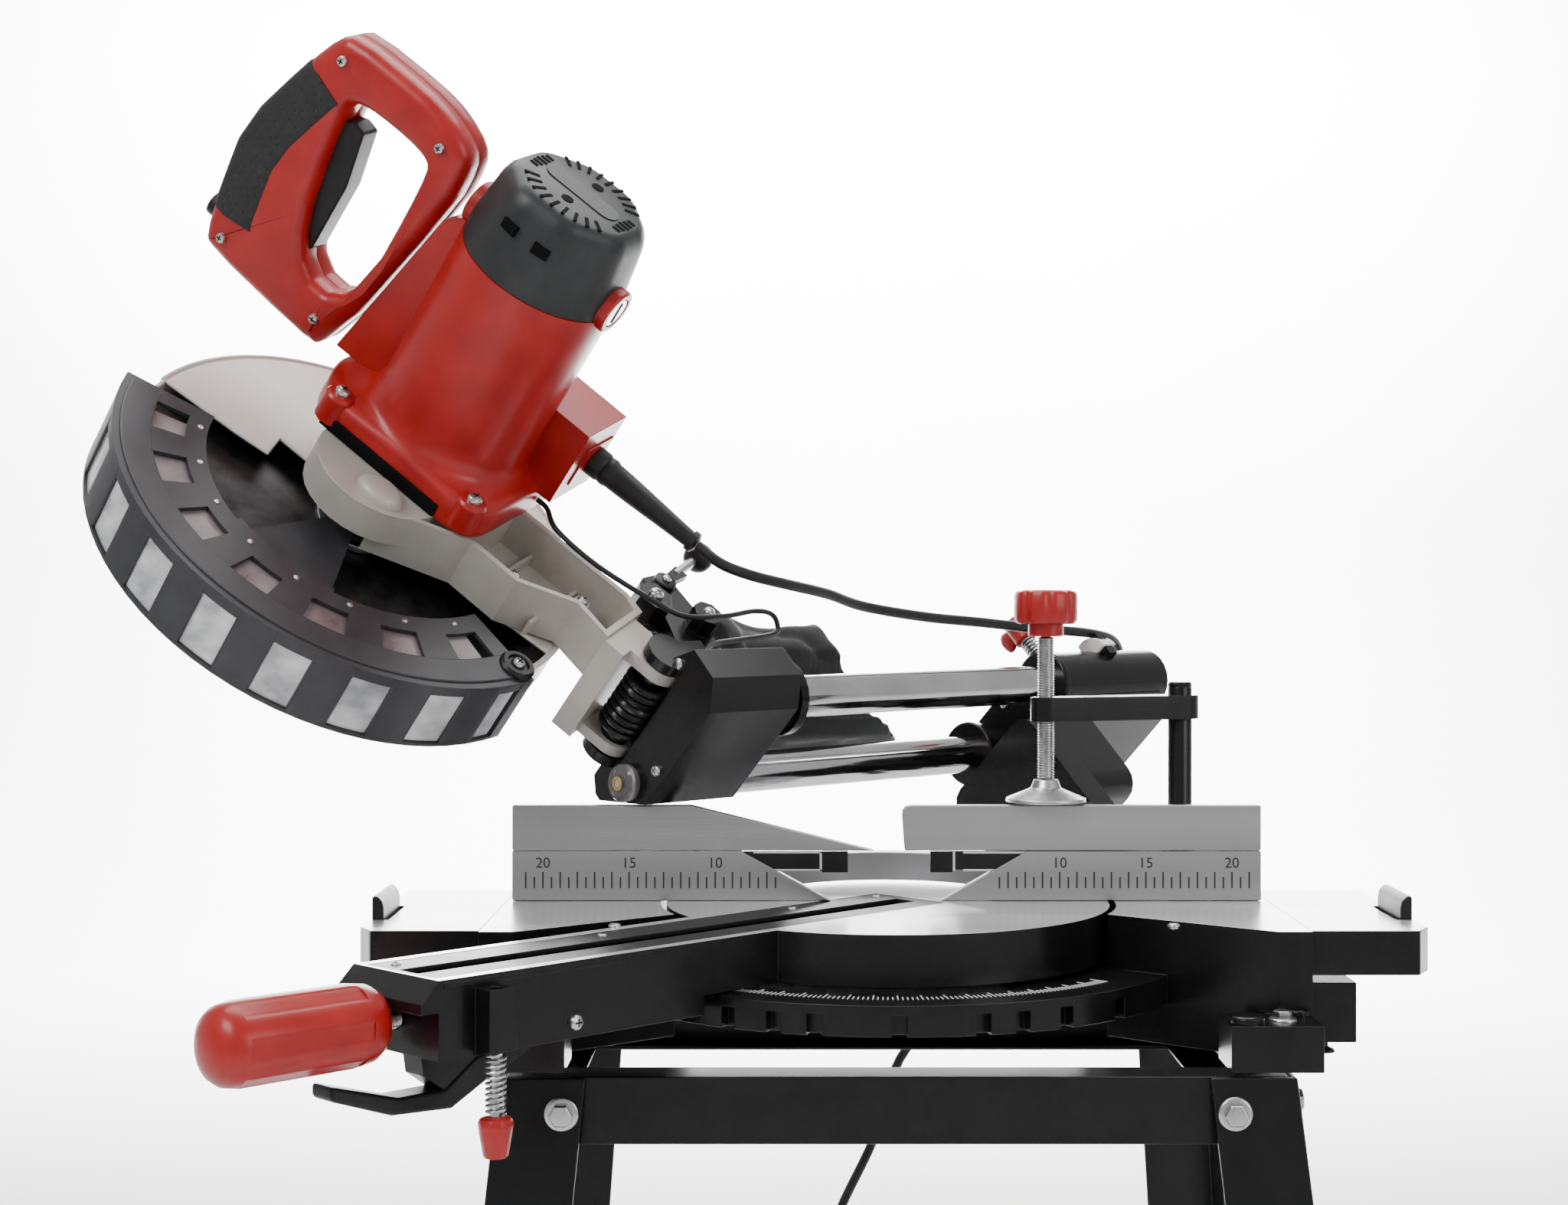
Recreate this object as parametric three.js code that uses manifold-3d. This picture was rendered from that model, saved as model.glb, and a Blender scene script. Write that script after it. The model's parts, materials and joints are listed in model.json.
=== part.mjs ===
// Sliding compound mitre saw on a splayed-leg stand. Millimetres, +Z up, the operator stands towards -Y.
// Rest pose: mitre 45 degrees left, bevel 45 degrees left, head raised, rails pulled out.
import * as THREE from 'three';
import { mergeVertices } from 'three/addons/utils/BufferGeometryUtils.js';
import Module from 'manifold-3d';

const wasm = await Module();
wasm.setup();

// ---------------------------------------------------------------- driving dimensions
const TABLE_HEIGHT = 790;        // table surface above the floor
const MITRE = 45;                // degrees to the left
const BEVEL = 45;                // degrees to the left
const RAISE = 63;                // head lift above the cutting position
const GAP = 0.3;                 // clearance between pieces that touch

const BASE = { halfWidth: 221, front: -117, rear: 56, height: 68, wall: 5, discHole: 131.5 };
const APRON = { radius: 168, top: -30, bottom: -46 };
const FENCE = { half: 218, thick: 8, low: 29, high: 55.6 };
const WING = { reach: 66, thick: 24, front: -112, rear: 48, rodR: 4.5, rodZ: -14, rodIn: 75, rods: [-40, 14] };

const STAND = { halfWidth: 206, front: -150, rear: 122, top: -70.5, sheet: 3, flange: 45, beam: 35 };
const LEG_SPLAY = { x: Math.tan(THREE.MathUtils.degToRad(5)), y: Math.tan(THREE.MathUtils.degToRad(12)) };
const FOOT = { height: 38, sole: 12, wall: 4 };

const DISC = { radius: 128, height: 28 };
const ARM = { half: 35, length: 345, height: 38, step: 176 };
const KERF = { half: 27.7, left: -5, right: 10, front: 340, back: -20, thick: 2.5 };
const FLANGE = { radius: 50, front: 150, back: 170 };

const RAIL = {
  r: 12.5, bore: 12.9, rightP: 37, leftP: -35, rightQ: 128.5, leftQ: 131.5, front: 92, rear: 330,
};
const PIVOT = { s: 104, q: 154, r: 9 };
const BLADE_CENTRE = { s: 222, q: 306 };
const BLADE = { r: 125, thick: 2.4, bore: 10.4 };
const UPPER_GUARD = { r: 137, left: -16, right: 12, wall: 2.5 };
const LOWER_GUARD = { r: 150, inner: 97, left: -22, right: 24.5, wall: 2.5, from: -168, to: -22 };
const MOTOR = { r: 48, f: -4, v: 48, start: 62, end: 186, cap: 238, collarR: 64 };
const HANDLE = { v: 48, half: 17 };
const CORD = { r: 3.3, coilR: 37, coilX: -110, coilY: 165, coilHeight: 20 };
const LASER_CORD_R = 1.6;

// ---------------------------------------------------------------- materials
function paint(color, roughness, metalness) {
  return new THREE.MeshStandardMaterial({ color, roughness, metalness });
}
const RED = paint(0xa82a24, 0.45, 0.0);
const BLACK = paint(0x1c1c1e, 0.55, 0.1);
const GREY = paint(0x96918a, 0.5, 0.2);
const PALE = paint(0xbeb4ac, 0.5, 0.1);
const DARK = paint(0x4a4a50, 0.55, 0.0);
const CLEAR = paint(0xe0e6ea, 0.1, 0.0);
const ALU = paint(0xb9bcbf, 0.35, 0.9);
const STEEL = paint(0x8e9296, 0.3, 1.0);
const CHROME = paint(0xd8dadc, 0.12, 1.0);
const RUBBER = paint(0x202022, 0.9, 0.0);
const FABRIC = paint(0x2a2a2c, 0.95, 0.0);
const LEGS = paint(0x202224, 0.5, 0.3);

// ---------------------------------------------------------------- solids
const rad = THREE.MathUtils.degToRad;

function toSolid(geometry) {
  const bare = geometry.clone();
  bare.deleteAttribute('normal');
  bare.deleteAttribute('uv');
  const merged = geometry.userData.welded ? bare : mergeVertices(bare, 1e-4);
  return new wasm.Manifold(new wasm.Mesh({
    numProp: 3,
    vertProperties: new Float32Array(merged.attributes.position.array),
    triVerts: new Uint32Array(merged.index.array),
  }));
}

function toGeometry(solid) {
  const mesh = solid.getMesh();
  const geometry = new THREE.BufferGeometry();
  geometry.setAttribute('position', new THREE.BufferAttribute(mesh.vertProperties, 3));
  geometry.setIndex(new THREE.BufferAttribute(mesh.triVerts, 1));
  geometry.computeVertexNormals();
  geometry.userData.welded = true;
  return geometry;
}

function join(...pieces) {
  return toGeometry(pieces.map(toSolid).reduce((a, b) => a.add(b)));
}

function cut(body, ...tools) {
  return toGeometry(tools.map(toSolid).reduce((a, b) => a.subtract(b), toSolid(body)));
}

function shapeOf(points, holes = []) {
  const outline = points.map(([a, b]) => new THREE.Vector2(a, b));
  const shape = new THREE.Shape(THREE.ShapeUtils.isClockWise(outline) ? outline.reverse() : outline);
  for (const hole of holes) {
    shape.holes.push(new THREE.Path(hole.map(([a, b]) => new THREE.Vector2(a, b))));
  }
  return shape;
}

function extrudeZ(points, z0, z1, holes) {
  const options = { depth: z1 - z0, bevelEnabled: false };
  const geometry = new THREE.ExtrudeGeometry(shapeOf(points, holes), options);
  return geometry.translate(0, 0, z0);
}

// outline points are [y, z]
function extrudeX(points, x0, x1, holes) {
  const options = { depth: x1 - x0, bevelEnabled: false };
  const geometry = new THREE.ExtrudeGeometry(shapeOf(points, holes), options);
  geometry.applyMatrix4(new THREE.Matrix4().set(0, 0, 1, x0, 1, 0, 0, 0, 0, 1, 0, 0, 0, 0, 0, 1));
  return geometry;
}

// outline points are [x, z]
function extrudeY(points, y0, y1, holes) {
  const options = { depth: y1 - y0, bevelEnabled: false };
  const geometry = new THREE.ExtrudeGeometry(shapeOf(points, holes), options);
  geometry.applyMatrix4(new THREE.Matrix4().set(1, 0, 0, 0, 0, 0, -1, y1, 0, 1, 0, 0, 0, 0, 0, 1));
  return geometry;
}

function box(x0, x1, y0, y1, z0, z1) {
  const geometry = new THREE.BoxGeometry(x1 - x0, y1 - y0, z1 - z0);
  return geometry.translate((x0 + x1) / 2, (y0 + y1) / 2, (z0 + z1) / 2);
}

function arc(cx, cy, r, from, to, steps) {
  const points = [];
  for (let i = 0; i <= steps; i += 1) {
    const angle = rad(from + ((to - from) * i) / steps);
    points.push([cx + r * Math.cos(angle), cy + r * Math.sin(angle)]);
  }
  return points;
}

function circle(cx, cy, r, steps = 24) {
  return arc(cx, cy, r, 0, 360 - 360 / steps, steps - 1);
}

function roundRect(x0, x1, y0, y1, r, steps = 3) {
  return [
    ...arc(x1 - r, y1 - r, r, 0, 90, steps),
    ...arc(x0 + r, y1 - r, r, 90, 180, steps),
    ...arc(x0 + r, y0 + r, r, 180, 270, steps),
    ...arc(x1 - r, y0 + r, r, 270, 360, steps),
  ];
}

// a band between two radii, from one angle to another
function sector(inner, outer, from, to, steps) {
  return [...arc(0, 0, outer, from, to, steps), ...arc(0, 0, inner, to, from, steps)];
}

function cylinderX(y, z, r, x0, x1, steps = 24) {
  return extrudeX(circle(y, z, r, steps), x0, x1);
}

function cylinderY(x, z, r, y0, y1, steps = 24) {
  return extrudeY(circle(x, z, r, steps), y0, y1);
}

function cylinderZ(x, y, r, z0, z1, steps = 24) {
  return extrudeZ(circle(x, y, r, steps), z0, z1);
}

// a turned piece: [radius, height] pairs from axis to axis, along +Z
function turned(profile, steps = 24) {
  const points = profile.map(([r, z]) => new THREE.Vector2(r, z));
  return new THREE.LatheGeometry(points, steps).rotateX(Math.PI / 2);
}

// ---------------------------------------------------------------- frames
const product = new THREE.Group();
const table = new THREE.Group();            // mitre axis at the table surface
product.add(table);
table.position.z = TABLE_HEIGHT;

const turn = new THREE.Group();             // turns with the mitre angle, arm towards -Y
turn.rotation.z = -rad(MITRE);
table.add(turn);

const tilt = new THREE.Group();             // leans with the bevel angle
tilt.rotation.y = -rad(BEVEL);
turn.add(tilt);

const head = new THREE.Group();             // swings on the chop pivot, raised at rest
head.position.set(0, -PIVOT.s, PIVOT.q);
head.rotation.x = -rad(RAISE);
tilt.add(head);

// blade frame: x along the arbor to the motor, -y forward, z up in the cutting position
const reach = Math.hypot(BLADE_CENTRE.s - PIVOT.s, BLADE_CENTRE.q - PIVOT.q);
const lift = Math.atan2(BLADE_CENTRE.q - PIVOT.q, BLADE_CENTRE.s - PIVOT.s) - rad(RAISE);
const blade = new THREE.Group();
blade.position.set(0, -reach * Math.cos(lift), reach * Math.sin(lift));
head.add(blade);
const PIVOT_F = -reach * Math.cos(lift);    // chop pivot seen from the blade centre: forward
const PIVOT_V = -reach * Math.sin(lift);    // and up

function add(parent, name, geometry, material) {
  const mesh = new THREE.Mesh(geometry, material);
  mesh.name = name;
  parent.add(mesh);
  return mesh;
}

// ---------------------------------------------------------------- stand
const LEG_BOTTOM = -TABLE_HEIGHT + FOOT.sole + GAP;
const SIDES = [['left', -1], ['right', 1]];
const ENDS = [['front', -1, STAND.front], ['rear', 1, STAND.rear]];

// a horizontal section swept down a splayed leg, whose foot moves out by sx and sy per unit of height
function splayed(points, z0, z1, sx, sy) {
  const geometry = extrudeZ(points, z0, z1);
  const shear = new THREE.Matrix4().set(
    1, 0, -sx, sx * STAND.top,
    0, 1, -sy, sy * STAND.top,
    0, 0, 1, 0,
    0, 0, 0, 1,
  );
  return geometry.applyMatrix4(shear);
}

// L section with its corner at the origin, opening towards the middle of the stand
function angleSection(cx, cy, dx, dy, t, grow) {
  const x = (d) => cx - dx * d;
  const y = (d) => cy - dy * d;
  const w = STAND.flange + grow;
  const points = [
    [x(-grow), y(-grow)], [x(w), y(-grow)], [x(w), y(t + grow)],
    [x(t + grow), y(t + grow)], [x(t + grow), y(w)], [x(-grow), y(w)],
  ];
  return points;
}

function makeStand() {
  for (const [end, dy, cy] of ENDS) {
    for (const [side, dx] of SIDES) {
      const cx = dx * STAND.halfWidth;
      const sx = dx * LEG_SPLAY.x;
      const sy = dy * LEG_SPLAY.y;
      const leg = splayed(angleSection(cx, cy, dx, dy, STAND.sheet, 0), LEG_BOTTOM, STAND.top, sx, sy);
      add(table, `leg_${end}_${side}`, leg, LEGS);

      const drop = STAND.top - LEG_BOTTOM;
      const fx = cx + sx * drop;
      const fy = cy + sy * drop;
      const out = FOOT.wall + 4;
      const inward = STAND.flange + FOOT.wall;
      const xs = [fx + dx * out, fx - dx * inward].sort((a, b) => a - b);
      const ys = [fy + dy * out, fy - dy * inward].sort((a, b) => a - b);
      const boot = box(xs[0], xs[1], ys[0], ys[1], -TABLE_HEIGHT, -TABLE_HEIGHT + FOOT.height);
      const socket = splayed(
        angleSection(cx, cy, dx, dy, STAND.sheet, GAP), LEG_BOTTOM - GAP, LEG_BOTTOM + FOOT.height, sx, sy,
      );
      add(table, `foot_${end}_${side}`, cut(boot, socket), RUBBER);
    }
  }

  const z0 = STAND.top - STAND.beam;
  const channel = (y, dy) => {
    const t = 2.5;
    const depth = 25;
    const points = [
      [y, STAND.top], [y - dy * depth, STAND.top],
      [y - dy * depth, STAND.top - t], [y - dy * t, STAND.top - t],
      [y - dy * t, z0 + t], [y - dy * depth, z0 + t], [y - dy * depth, z0], [y, z0],
    ];
    return points;
  };
  const inset = STAND.sheet + 0.5;
  const beamHalf = STAND.halfWidth - inset;
  for (const [end, dy, cy] of ENDS) {
    add(table, `stand_${end}_beam`, extrudeX(channel(cy - dy * inset, dy), -beamHalf, beamHalf), LEGS);
  }
  for (const [side, dx] of SIDES) {
    const beam = extrudeY(channel(dx * beamHalf, dx), STAND.front + 30, STAND.rear - 30);
    add(table, `stand_${side}_beam`, beam, LEGS);

    const z = -560;
    const fall = STAND.top - z;
    const x = dx * (STAND.halfWidth - 4 + LEG_SPLAY.x * (fall - 12));
    const y0 = STAND.front - LEG_SPLAY.y * (fall - 12) + 4;
    const y1 = STAND.rear + LEG_SPLAY.y * (fall - 12) - 4;
    const section = [
      [x, z + 12], [x - dx * 2.5, z + 12], [x - dx * 2.5, z - 9.5], [x - dx * 22, z - 9.5],
      [x - dx * 22, z - 12], [x, z - 12],
    ];
    add(table, `stand_brace_${side}`, extrudeY(section, y0, y1), LEGS);
  }
}

// ---------------------------------------------------------------- base casting, fences, wings, clamp
function sideBlock(dx, inset) {
  const b = BASE;
  const hole = b.discHole + inset;
  const outer = b.halfWidth - inset;
  const start = (Math.asin((b.rear - inset) / hole) * 180) / Math.PI;
  const end = (-Math.asin(52 / hole) * 180) / Math.PI;
  const points = [
    [outer, b.rear - inset],
    ...arc(0, 0, hole, start, end, 10),
    [203 + inset, b.front + inset],
    [outer, b.front + inset],
  ].map(([x, y]) => [dx * x, y]);
  return points;
}

function makeBase() {
  const pieces = [];
  const tools = [];
  for (const [, dx] of SIDES) {
    pieces.push(extrudeZ(sideBlock(dx, 0), -BASE.height, 0));
    tools.push(extrudeZ(sideBlock(dx, BASE.wall), -BASE.height - 1, -BASE.wall));
    const lug = (x0, x1, y0, y1, z0, z1) => {
      const [a, b] = [dx * x0, dx * x1].sort((m, n) => m - n);
      return box(a, b, y0, y1, z0, z1);
    };
    pieces.push(lug(172, 220, -149, -112, -BASE.height, -44));
    pieces.push(lug(185, 220, 52, 121, -BASE.height, -57));
    pieces.push(lug(220, 247, -105, -62, -61, -29));
    for (const y of WING.rods) {
      tools.push(lug(214, 222, y - 6, y + 6, WING.rodZ - 6, WING.rodZ + 6));
    }
  }
  pieces.push(extrudeZ(circle(0, 0, BASE.discHole + 3, 48), APRON.bottom, APRON.top));
  pieces.push(extrudeZ([...arc(0, 0, APRON.radius, -170, -10, 40), [0, 0]], APRON.bottom, APRON.top));
  for (const angle of [-45, -31.6, -22.5, -15, 0, 15, 22.5, 31.6, 45]) {
    const notch = box(-4, 4, -APRON.radius - 2, -APRON.radius + 7, APRON.bottom - 1, APRON.top - 5);
    tools.push(notch.rotateZ(rad(angle)));
  }
  tools.push(cylinderZ(176, 38, 7.3, -40, 1, 16));
  add(table, 'base_casting', cut(join(...pieces), ...tools), BLACK);
}

function makeFences() {
  const low = FENCE.low;
  const left = extrudeY([[-FENCE.half, GAP], [-33, GAP], [-85, low], [-FENCE.half, low]], 0, FENCE.thick);
  const right = extrudeY([[31, GAP], [FENCE.half - 1, GAP], [FENCE.half - 1, low], [81, low]], 0, FENCE.thick);
  const footLeft = box(-FENCE.half, -62, FENCE.thick - 1, 28, GAP, 8);
  const footRight = box(62, FENCE.half - 1, FENCE.thick - 1, 28, GAP, 8);
  const bridge = extrudeZ([...arc(0, 8, 84, 14, 166, 14), ...arc(0, 8, 72, 166, 14, 14)], 2, 19);
  add(table, 'fixed_fence', join(left, right, footLeft, footRight, bridge), ALU);

  const z0 = low + GAP;
  const upperLeft = [[-FENCE.half, z0], [-7, z0], [-114, FENCE.high], [-FENCE.half, FENCE.high]];
  const r = 5;
  const upperRight = [
    [FENCE.half - 1, z0], [FENCE.half - 1, FENCE.high], [8.5 + r, FENCE.high],
    ...arc(8.5 + r, FENCE.high - r, r, 90, 180, 3), [10, z0],
  ];
  add(table, 'upper_fence_left', extrudeY(upperLeft, 0, FENCE.thick - 1), ALU);
  add(table, 'upper_fence_right', extrudeY(upperRight, 0, FENCE.thick - 1), ALU);
}

function makeWings() {
  for (const [side, dx] of SIDES) {
    const x0 = BASE.halfWidth + 0.5;
    const x1 = BASE.halfWidth + WING.reach;
    const outline = [
      [x0, WING.front], [x1 - 8, WING.front], [x1, WING.front + 14], [x1, WING.rear], [x0, WING.rear],
    ].map(([x, y]) => [dx * x, y]);
    const plate = extrudeZ(outline, -WING.thick, -0.2);
    const rods = WING.rods.map((y) => {
      const ends = [dx * (x0 - WING.rodIn), dx * (x0 + 6)].sort((a, b) => a - b);
      return cylinderX(y, WING.rodZ, WING.rodR, ends[0], ends[1], 10);
    });
    const [s0, s1] = [dx * (x1 - 10), dx * (x1 + 1)].sort((a, b) => a - b);
    const slot = box(s0, s1, -72, -18, -12, 1);
    add(table, `wing_${side}`, cut(join(plate, ...rods), slot), BLACK);

    const z = -5;
    const tab = [[0, z - 4], [0, 6], [0.9, 9.6], [3.5, 12.4], [6.5, 12.4], [6.5, z - 4]]
      .map(([x, h]) => [dx * (x + x1 - 7.5), h]);
    add(table, `flip_stop_${side}`, extrudeY(tab, -71, -19), BLACK);
  }
}

const CLAMP = { postX: 176, postY: 38, screwX: 93, screwY: 10, armZ: 111, armHalf: 7, postTop: 126 };

function makeClamp() {
  const c = CLAMP;
  const post = turned([[0, -38], [7, -38], [7, c.postTop], [0, c.postTop]], 16);
  add(table, 'clamp_post', post.translate(c.postX, c.postY, 0), BLACK);

  const span = Math.hypot(c.screwX - c.postX, c.screwY - c.postY);
  const outline = [...arc(0, 0, 11, -90, 90, 8), ...arc(-span, 0, 9, 90, 270, 8)];
  const holes = [circle(0, 0, 7.3, 16), circle(-span, 0, 5.3, 16)];
  const arm = extrudeZ(outline, c.armZ - c.armHalf, c.armZ + c.armHalf, holes);
  arm.rotateZ(Math.atan2(c.postY - c.screwY, c.postX - c.screwX));
  add(table, 'clamp_arm', arm.translate(c.postX, c.postY, 0), BLACK);

  const pad = turned([[0, 59.5], [17, 57], [23.5, 57], [23.5, 59], [9, 65], [7, 70], [0, 70]], 24);
  add(table, 'clamp_pad', pad.translate(c.screwX, c.screwY, 0), STEEL);
  const screw = turned([
    [0, 70.3], [5, 70.3], [5, 150], [10.5, 154], [10.5, 161], [18.5, 161], [18.5, 180], [16, 181.5], [0, 181.5],
  ], 20);
  add(table, 'clamp_screw', screw.translate(c.screwX, c.screwY, 0), RED);
}

// ---------------------------------------------------------------- turntable group
function makeTurntable() {
  const a = ARM;
  const side = [
    [-100, 0], [-a.length + 2, 0], [-a.length - 8, -10], [-a.length - 8, -15], [-a.length + 2, -15],
    [-a.length + 2, -a.height], [-a.step, -a.height], [-a.step, -DISC.height], [-100, -DISC.height],
  ];
  const arm = extrudeX(side, -a.half, a.half);
  const disc = cylinderZ(0, 0, DISC.radius, -DISC.height, 0, 64);
  const spine = box(-a.half, a.half, 60, FLANGE.front + 1, -DISC.height, -3);
  const flange = cylinderY(0, 0, FLANGE.radius, FLANGE.front, FLANGE.back, 32);
  const boss = box(30, 46, -322, -306, -36, -6);
  const seat = box(-28, 28, -KERF.front, -KERF.back, -3, 1);
  const slot = box(-8, 13, -KERF.front + 2, -KERF.back - 6, -16, -2);
  const pinHole = cylinderZ(40, -314, 3.4, -40, 0, 12);
  const lockBore = cylinderY(0, -22, 5.4, -a.length - 1, -a.length + 41, 12);
  add(turn, 'turntable', cut(join(disc, arm, spine, flange, boss), seat, slot, pinHole, lockBore), BLACK);

  const k = KERF;
  const plate = box(-k.half, k.half, -k.front + GAP, -k.back - GAP, -3 + GAP, -0.2);
  const kerf = box(k.left, k.right, -k.front + 3, -k.back - 8, -4, 1);
  add(turn, 'kerf_insert', cut(plate, kerf), BLACK);

  const handle = turned([
    [0, -36], [4.8, -36], [4.8, 6], [13, 8], [19, 14], [20, 22], [20, 84], [17, 92], [9, 97], [0, 98],
  ], 20);
  add(turn, 'mitre_lock_handle', handle.rotateX(Math.PI / 2).translate(0, -a.length - 2, -22), RED);

  const lever = [
    [-300, -44], [-320, -58], [-346, -58], [-384, -47], [-384, -54],
    [-350, -66], [-316, -68], [-292, -56], [-292, -44],
  ];
  add(turn, 'detent_lever', extrudeX(lever, -9, 9), BLACK);

  const pin = turned([[0, -86], [6, -86], [8.5, -70], [6, -66], [3, -66], [3, -18], [0, -18]], 14);
  add(turn, 'pull_pin', pin.translate(40, -314, 0), RED);

  const hub = cylinderY(0, 0, 15, 193.5, 210, 20);
  const grip = extrudeY([[-10, -8], [-80, -18], [-84, -26], [-78, -30], [-2, -14]], 197, 207);
  add(turn, 'bevel_lock_lever', join(hub, grip), BLACK);
}

// ---------------------------------------------------------------- tilt housing (x = right, y = back, z = up)
function railBosses(r, y0Right, y0Left, y1) {
  return [
    cylinderY(RAIL.rightP, RAIL.rightQ, r, y0Right, y1, 24),
    cylinderY(RAIL.leftP, RAIL.leftQ, r, y0Left, y1, 24),
  ];
}

function makeTilt() {
  const web = [...arc(0, 12, 44, 180, 360, 12), ...arc(32, 88, 12, 0, 90, 3), ...arc(-32, 88, 12, 90, 180, 3)];
  const plate = extrudeY(web, FLANGE.back + 0.8, 192.5);
  const column = extrudeY(roundRect(-42, 42, 34, 104, 14, 4), 186, 236);
  const saddle = extrudeY(roundRect(-44, 46, 94, 150, 6), 224, 326);
  const bosses = railBosses(21, 222, 208, 334);
  const bores = railBosses(RAIL.bore, 160, 160, 345);
  const knobSeat = cylinderZ(RAIL.rightP, 240, 8, 140, 154, 16);
  const knobHole = cylinderZ(RAIL.rightP, 240, 4.4, 145, 156, 12);
  const clip = box(50, 62, 276, 284, 132, 151.2);
  const body = join(plate, saddle, column, ...bosses, knobSeat, clip);
  add(tilt, 'tilt_housing', cut(body, ...bores, knobHole), BLACK);

  const knob = turned([[0, 147], [4, 147], [4, 168], [8, 169], [8, 186], [0, 187]], 12);
  const wing = box(-17, 17, -3.5, 3.5, 171, 187);
  add(tilt, 'rail_lock_knob', join(knob, wing).translate(RAIL.rightP, 240, 0), RED);
}

// ---------------------------------------------------------------- slide group
const TOWER = { p0: 22, p1: 34, hubS: 57, hubQ: 223 };

// a round boss along x, given by its place seen from the side: s forward, q up
function boss(s, q, r, p0, p1, steps = 20) {
  return cylinderX(-s, q, r, p0, p1, steps);
}

function makeSlide() {
  const right = cylinderY(RAIL.rightP, RAIL.rightQ, RAIL.r, -RAIL.front, RAIL.rear, 28);
  const left = cylinderY(RAIL.leftP, RAIL.leftQ, RAIL.r, -RAIL.front, RAIL.rear, 28);
  add(tilt, 'rail_right', right, CHROME);
  add(tilt, 'rail_left', left, CHROME);

  const face = [[-26, 106], [52, 106], [68, 118], [68, 140], [52, 149], [-48, 149], [-55, 140], [-55, 135]];
  const bar = extrudeY(face, -105, -35);
  const socket = cylinderY(RAIL.rightP, RAIL.rightQ, 19.5, -60, -22, 24);
  const lip = cylinderY(RAIL.rightP, RAIL.rightQ, 23, -28, -22, 24);
  const ears = [[-32, -25], [45, 52]].flatMap(([p0, p1]) => [
    boss(PIVOT.s, PIVOT.q, 14, p0, p1, 24),
    box(p0, p1, -PIVOT.s, -PIVOT.s + 28, 145, PIVOT.q + 8),
  ]);
  const pin = boss(PIVOT.s, PIVOT.q, PIVOT.r, -32, 52);
  const tower = extrudeX([
    [-68, 146], [-74, 170], [-69, 198], [-66, 232], [-46, 236], [-41, 205], [-42, 146],
  ], TOWER.p0, TOWER.p1);
  const bumper = boss(81, 204, 12, TOWER.p1 - 1, 47, 6);
  const bumperWeb = box(TOWER.p0, TOWER.p1, -82, -60, 198, 210);
  const adjuster = boss(47, 190, 10, TOWER.p1 - 1, 46, 8);
  const rails = railBosses(RAIL.r + GAP, -RAIL.front - 0.5, -RAIL.front - 0.5, 0);
  const springRoom = boss(PIVOT.s, PIVOT.q, 16, -24.6, 44.6, 28);
  const hollow = cut(join(bar, socket, lip), ...rails, springRoom);
  add(tilt, 'front_casting', join(hollow, ...ears, pin, tower, bumperWeb, bumper, adjuster), BLACK);

  const spring = extrudeX(circle(-PIVOT.s, PIVOT.q, 15, 24), -15, 33, [circle(-PIVOT.s, PIVOT.q, 10, 24)]);
  add(tilt, 'torsion_spring', spring, BLACK);

  const lens = cylinderY(-28, 125, 11, -112, -105.3, 24);
  add(tilt, 'laser_module', lens, CLEAR);

  const lever = join(
    boss(TOWER.hubS, TOWER.hubQ, 7, TOWER.p1 + GAP, 41, 16),
    extrudeX([[-59, 219], [-55, 226], [-18, 247.5], [-15, 241]], 35, 40),
    new THREE.SphereGeometry(9.5, 16, 12).translate(37.5, -14, 246),
  );
  add(tilt, 'depth_stop_lever', lever, BLACK);
}

// ---------------------------------------------------------------- head, in the blade frame
// outlines seen from the motor side: f forward, v up
const seen = (points) => points.map(([f, v]) => [-f, v]);

function sideways(points, p0, p1, holes = []) {
  return extrudeX(seen(points), p0, p1, holes.map(seen));
}

function round(f, v, r, p0, p1, steps = 32) {
  return sideways(circle(f, v, r, steps), p0, p1);
}

function makeHeadCasting() {
  const gearCase = (r) => [...arc(0, 0, r, 180, 360, 14), ...arc(MOTOR.f, MOTOR.v, r, 0, 180, 14)];
  const armOutline = (d) => [
    [-20, -30 + d], [-66, d], [-100, d], [-131, 22 + d], [-158 + d, 16 + d], [-158 + d, 58 - d],
    [-144, 63 - d], [-59, 61 - d], [-20, 80 - d],
  ];
  const body = join(
    sideways(gearCase(41), 26, 46),
    round(MOTOR.f, MOTOR.v, 60, 30, 46, 40),
    sideways(armOutline(0), 14.3, 46),
  );
  const room = join(
    sideways(gearCase(37.5), 29, 52),
    cut(sideways(armOutline(4), 20, 52), round(MOTOR.f, MOTOR.v, 60, 10, 53, 40)),
  );
  const shell = cut(body, room, round(0, 0, 10.6, 10, 32, 20));
  const bridge = box(-24, 44, 158, 172, 14, 50);
  const ears = [[-24, -17], [36, 44]].flatMap(([p0, p1]) => [
    round(PIVOT_F, PIVOT_V, 13, p0, p1, 24),
    box(p0, p1, 165, -PIVOT_F, PIVOT_V - 13, PIVOT_V + 13),
  ]);
  const pad = round(-112, 42, 8, 12.3, 16, 16);
  const bores = round(PIVOT_F, PIVOT_V, PIVOT.r + 0.4, -30, 50, 24);
  add(blade, 'head_casting', cut(join(shell, bridge, ...ears, pad), bores), GREY);
}

function makeUpperGuard() {
  const g = UPPER_GUARD;
  const outline = (r) => arc(0, 0, r, -28, 200, 40);
  const shell = sideways(outline(g.r), g.left, g.right);
  const chute = sideways([[-112, 60], [-165, 60], [-165, 95], [-90, 95]], -12, 8);
  const duct = sideways([[-100, 62.5], [-166, 62.5], [-166, 92.5], [-90, 92.5]], -9.5, 5.5);
  const hollow = [...outline(g.r - g.wall), [-150, -90], [150, -90]];
  const inside = sideways(hollow, g.left + g.wall, g.right - g.wall);
  const hole = round(0, 0, 20, g.right - g.wall - 1, g.right + 1, 24);
  add(blade, 'upper_guard', cut(join(shell, chute), inside, duct, hole), PALE);
}

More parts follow.
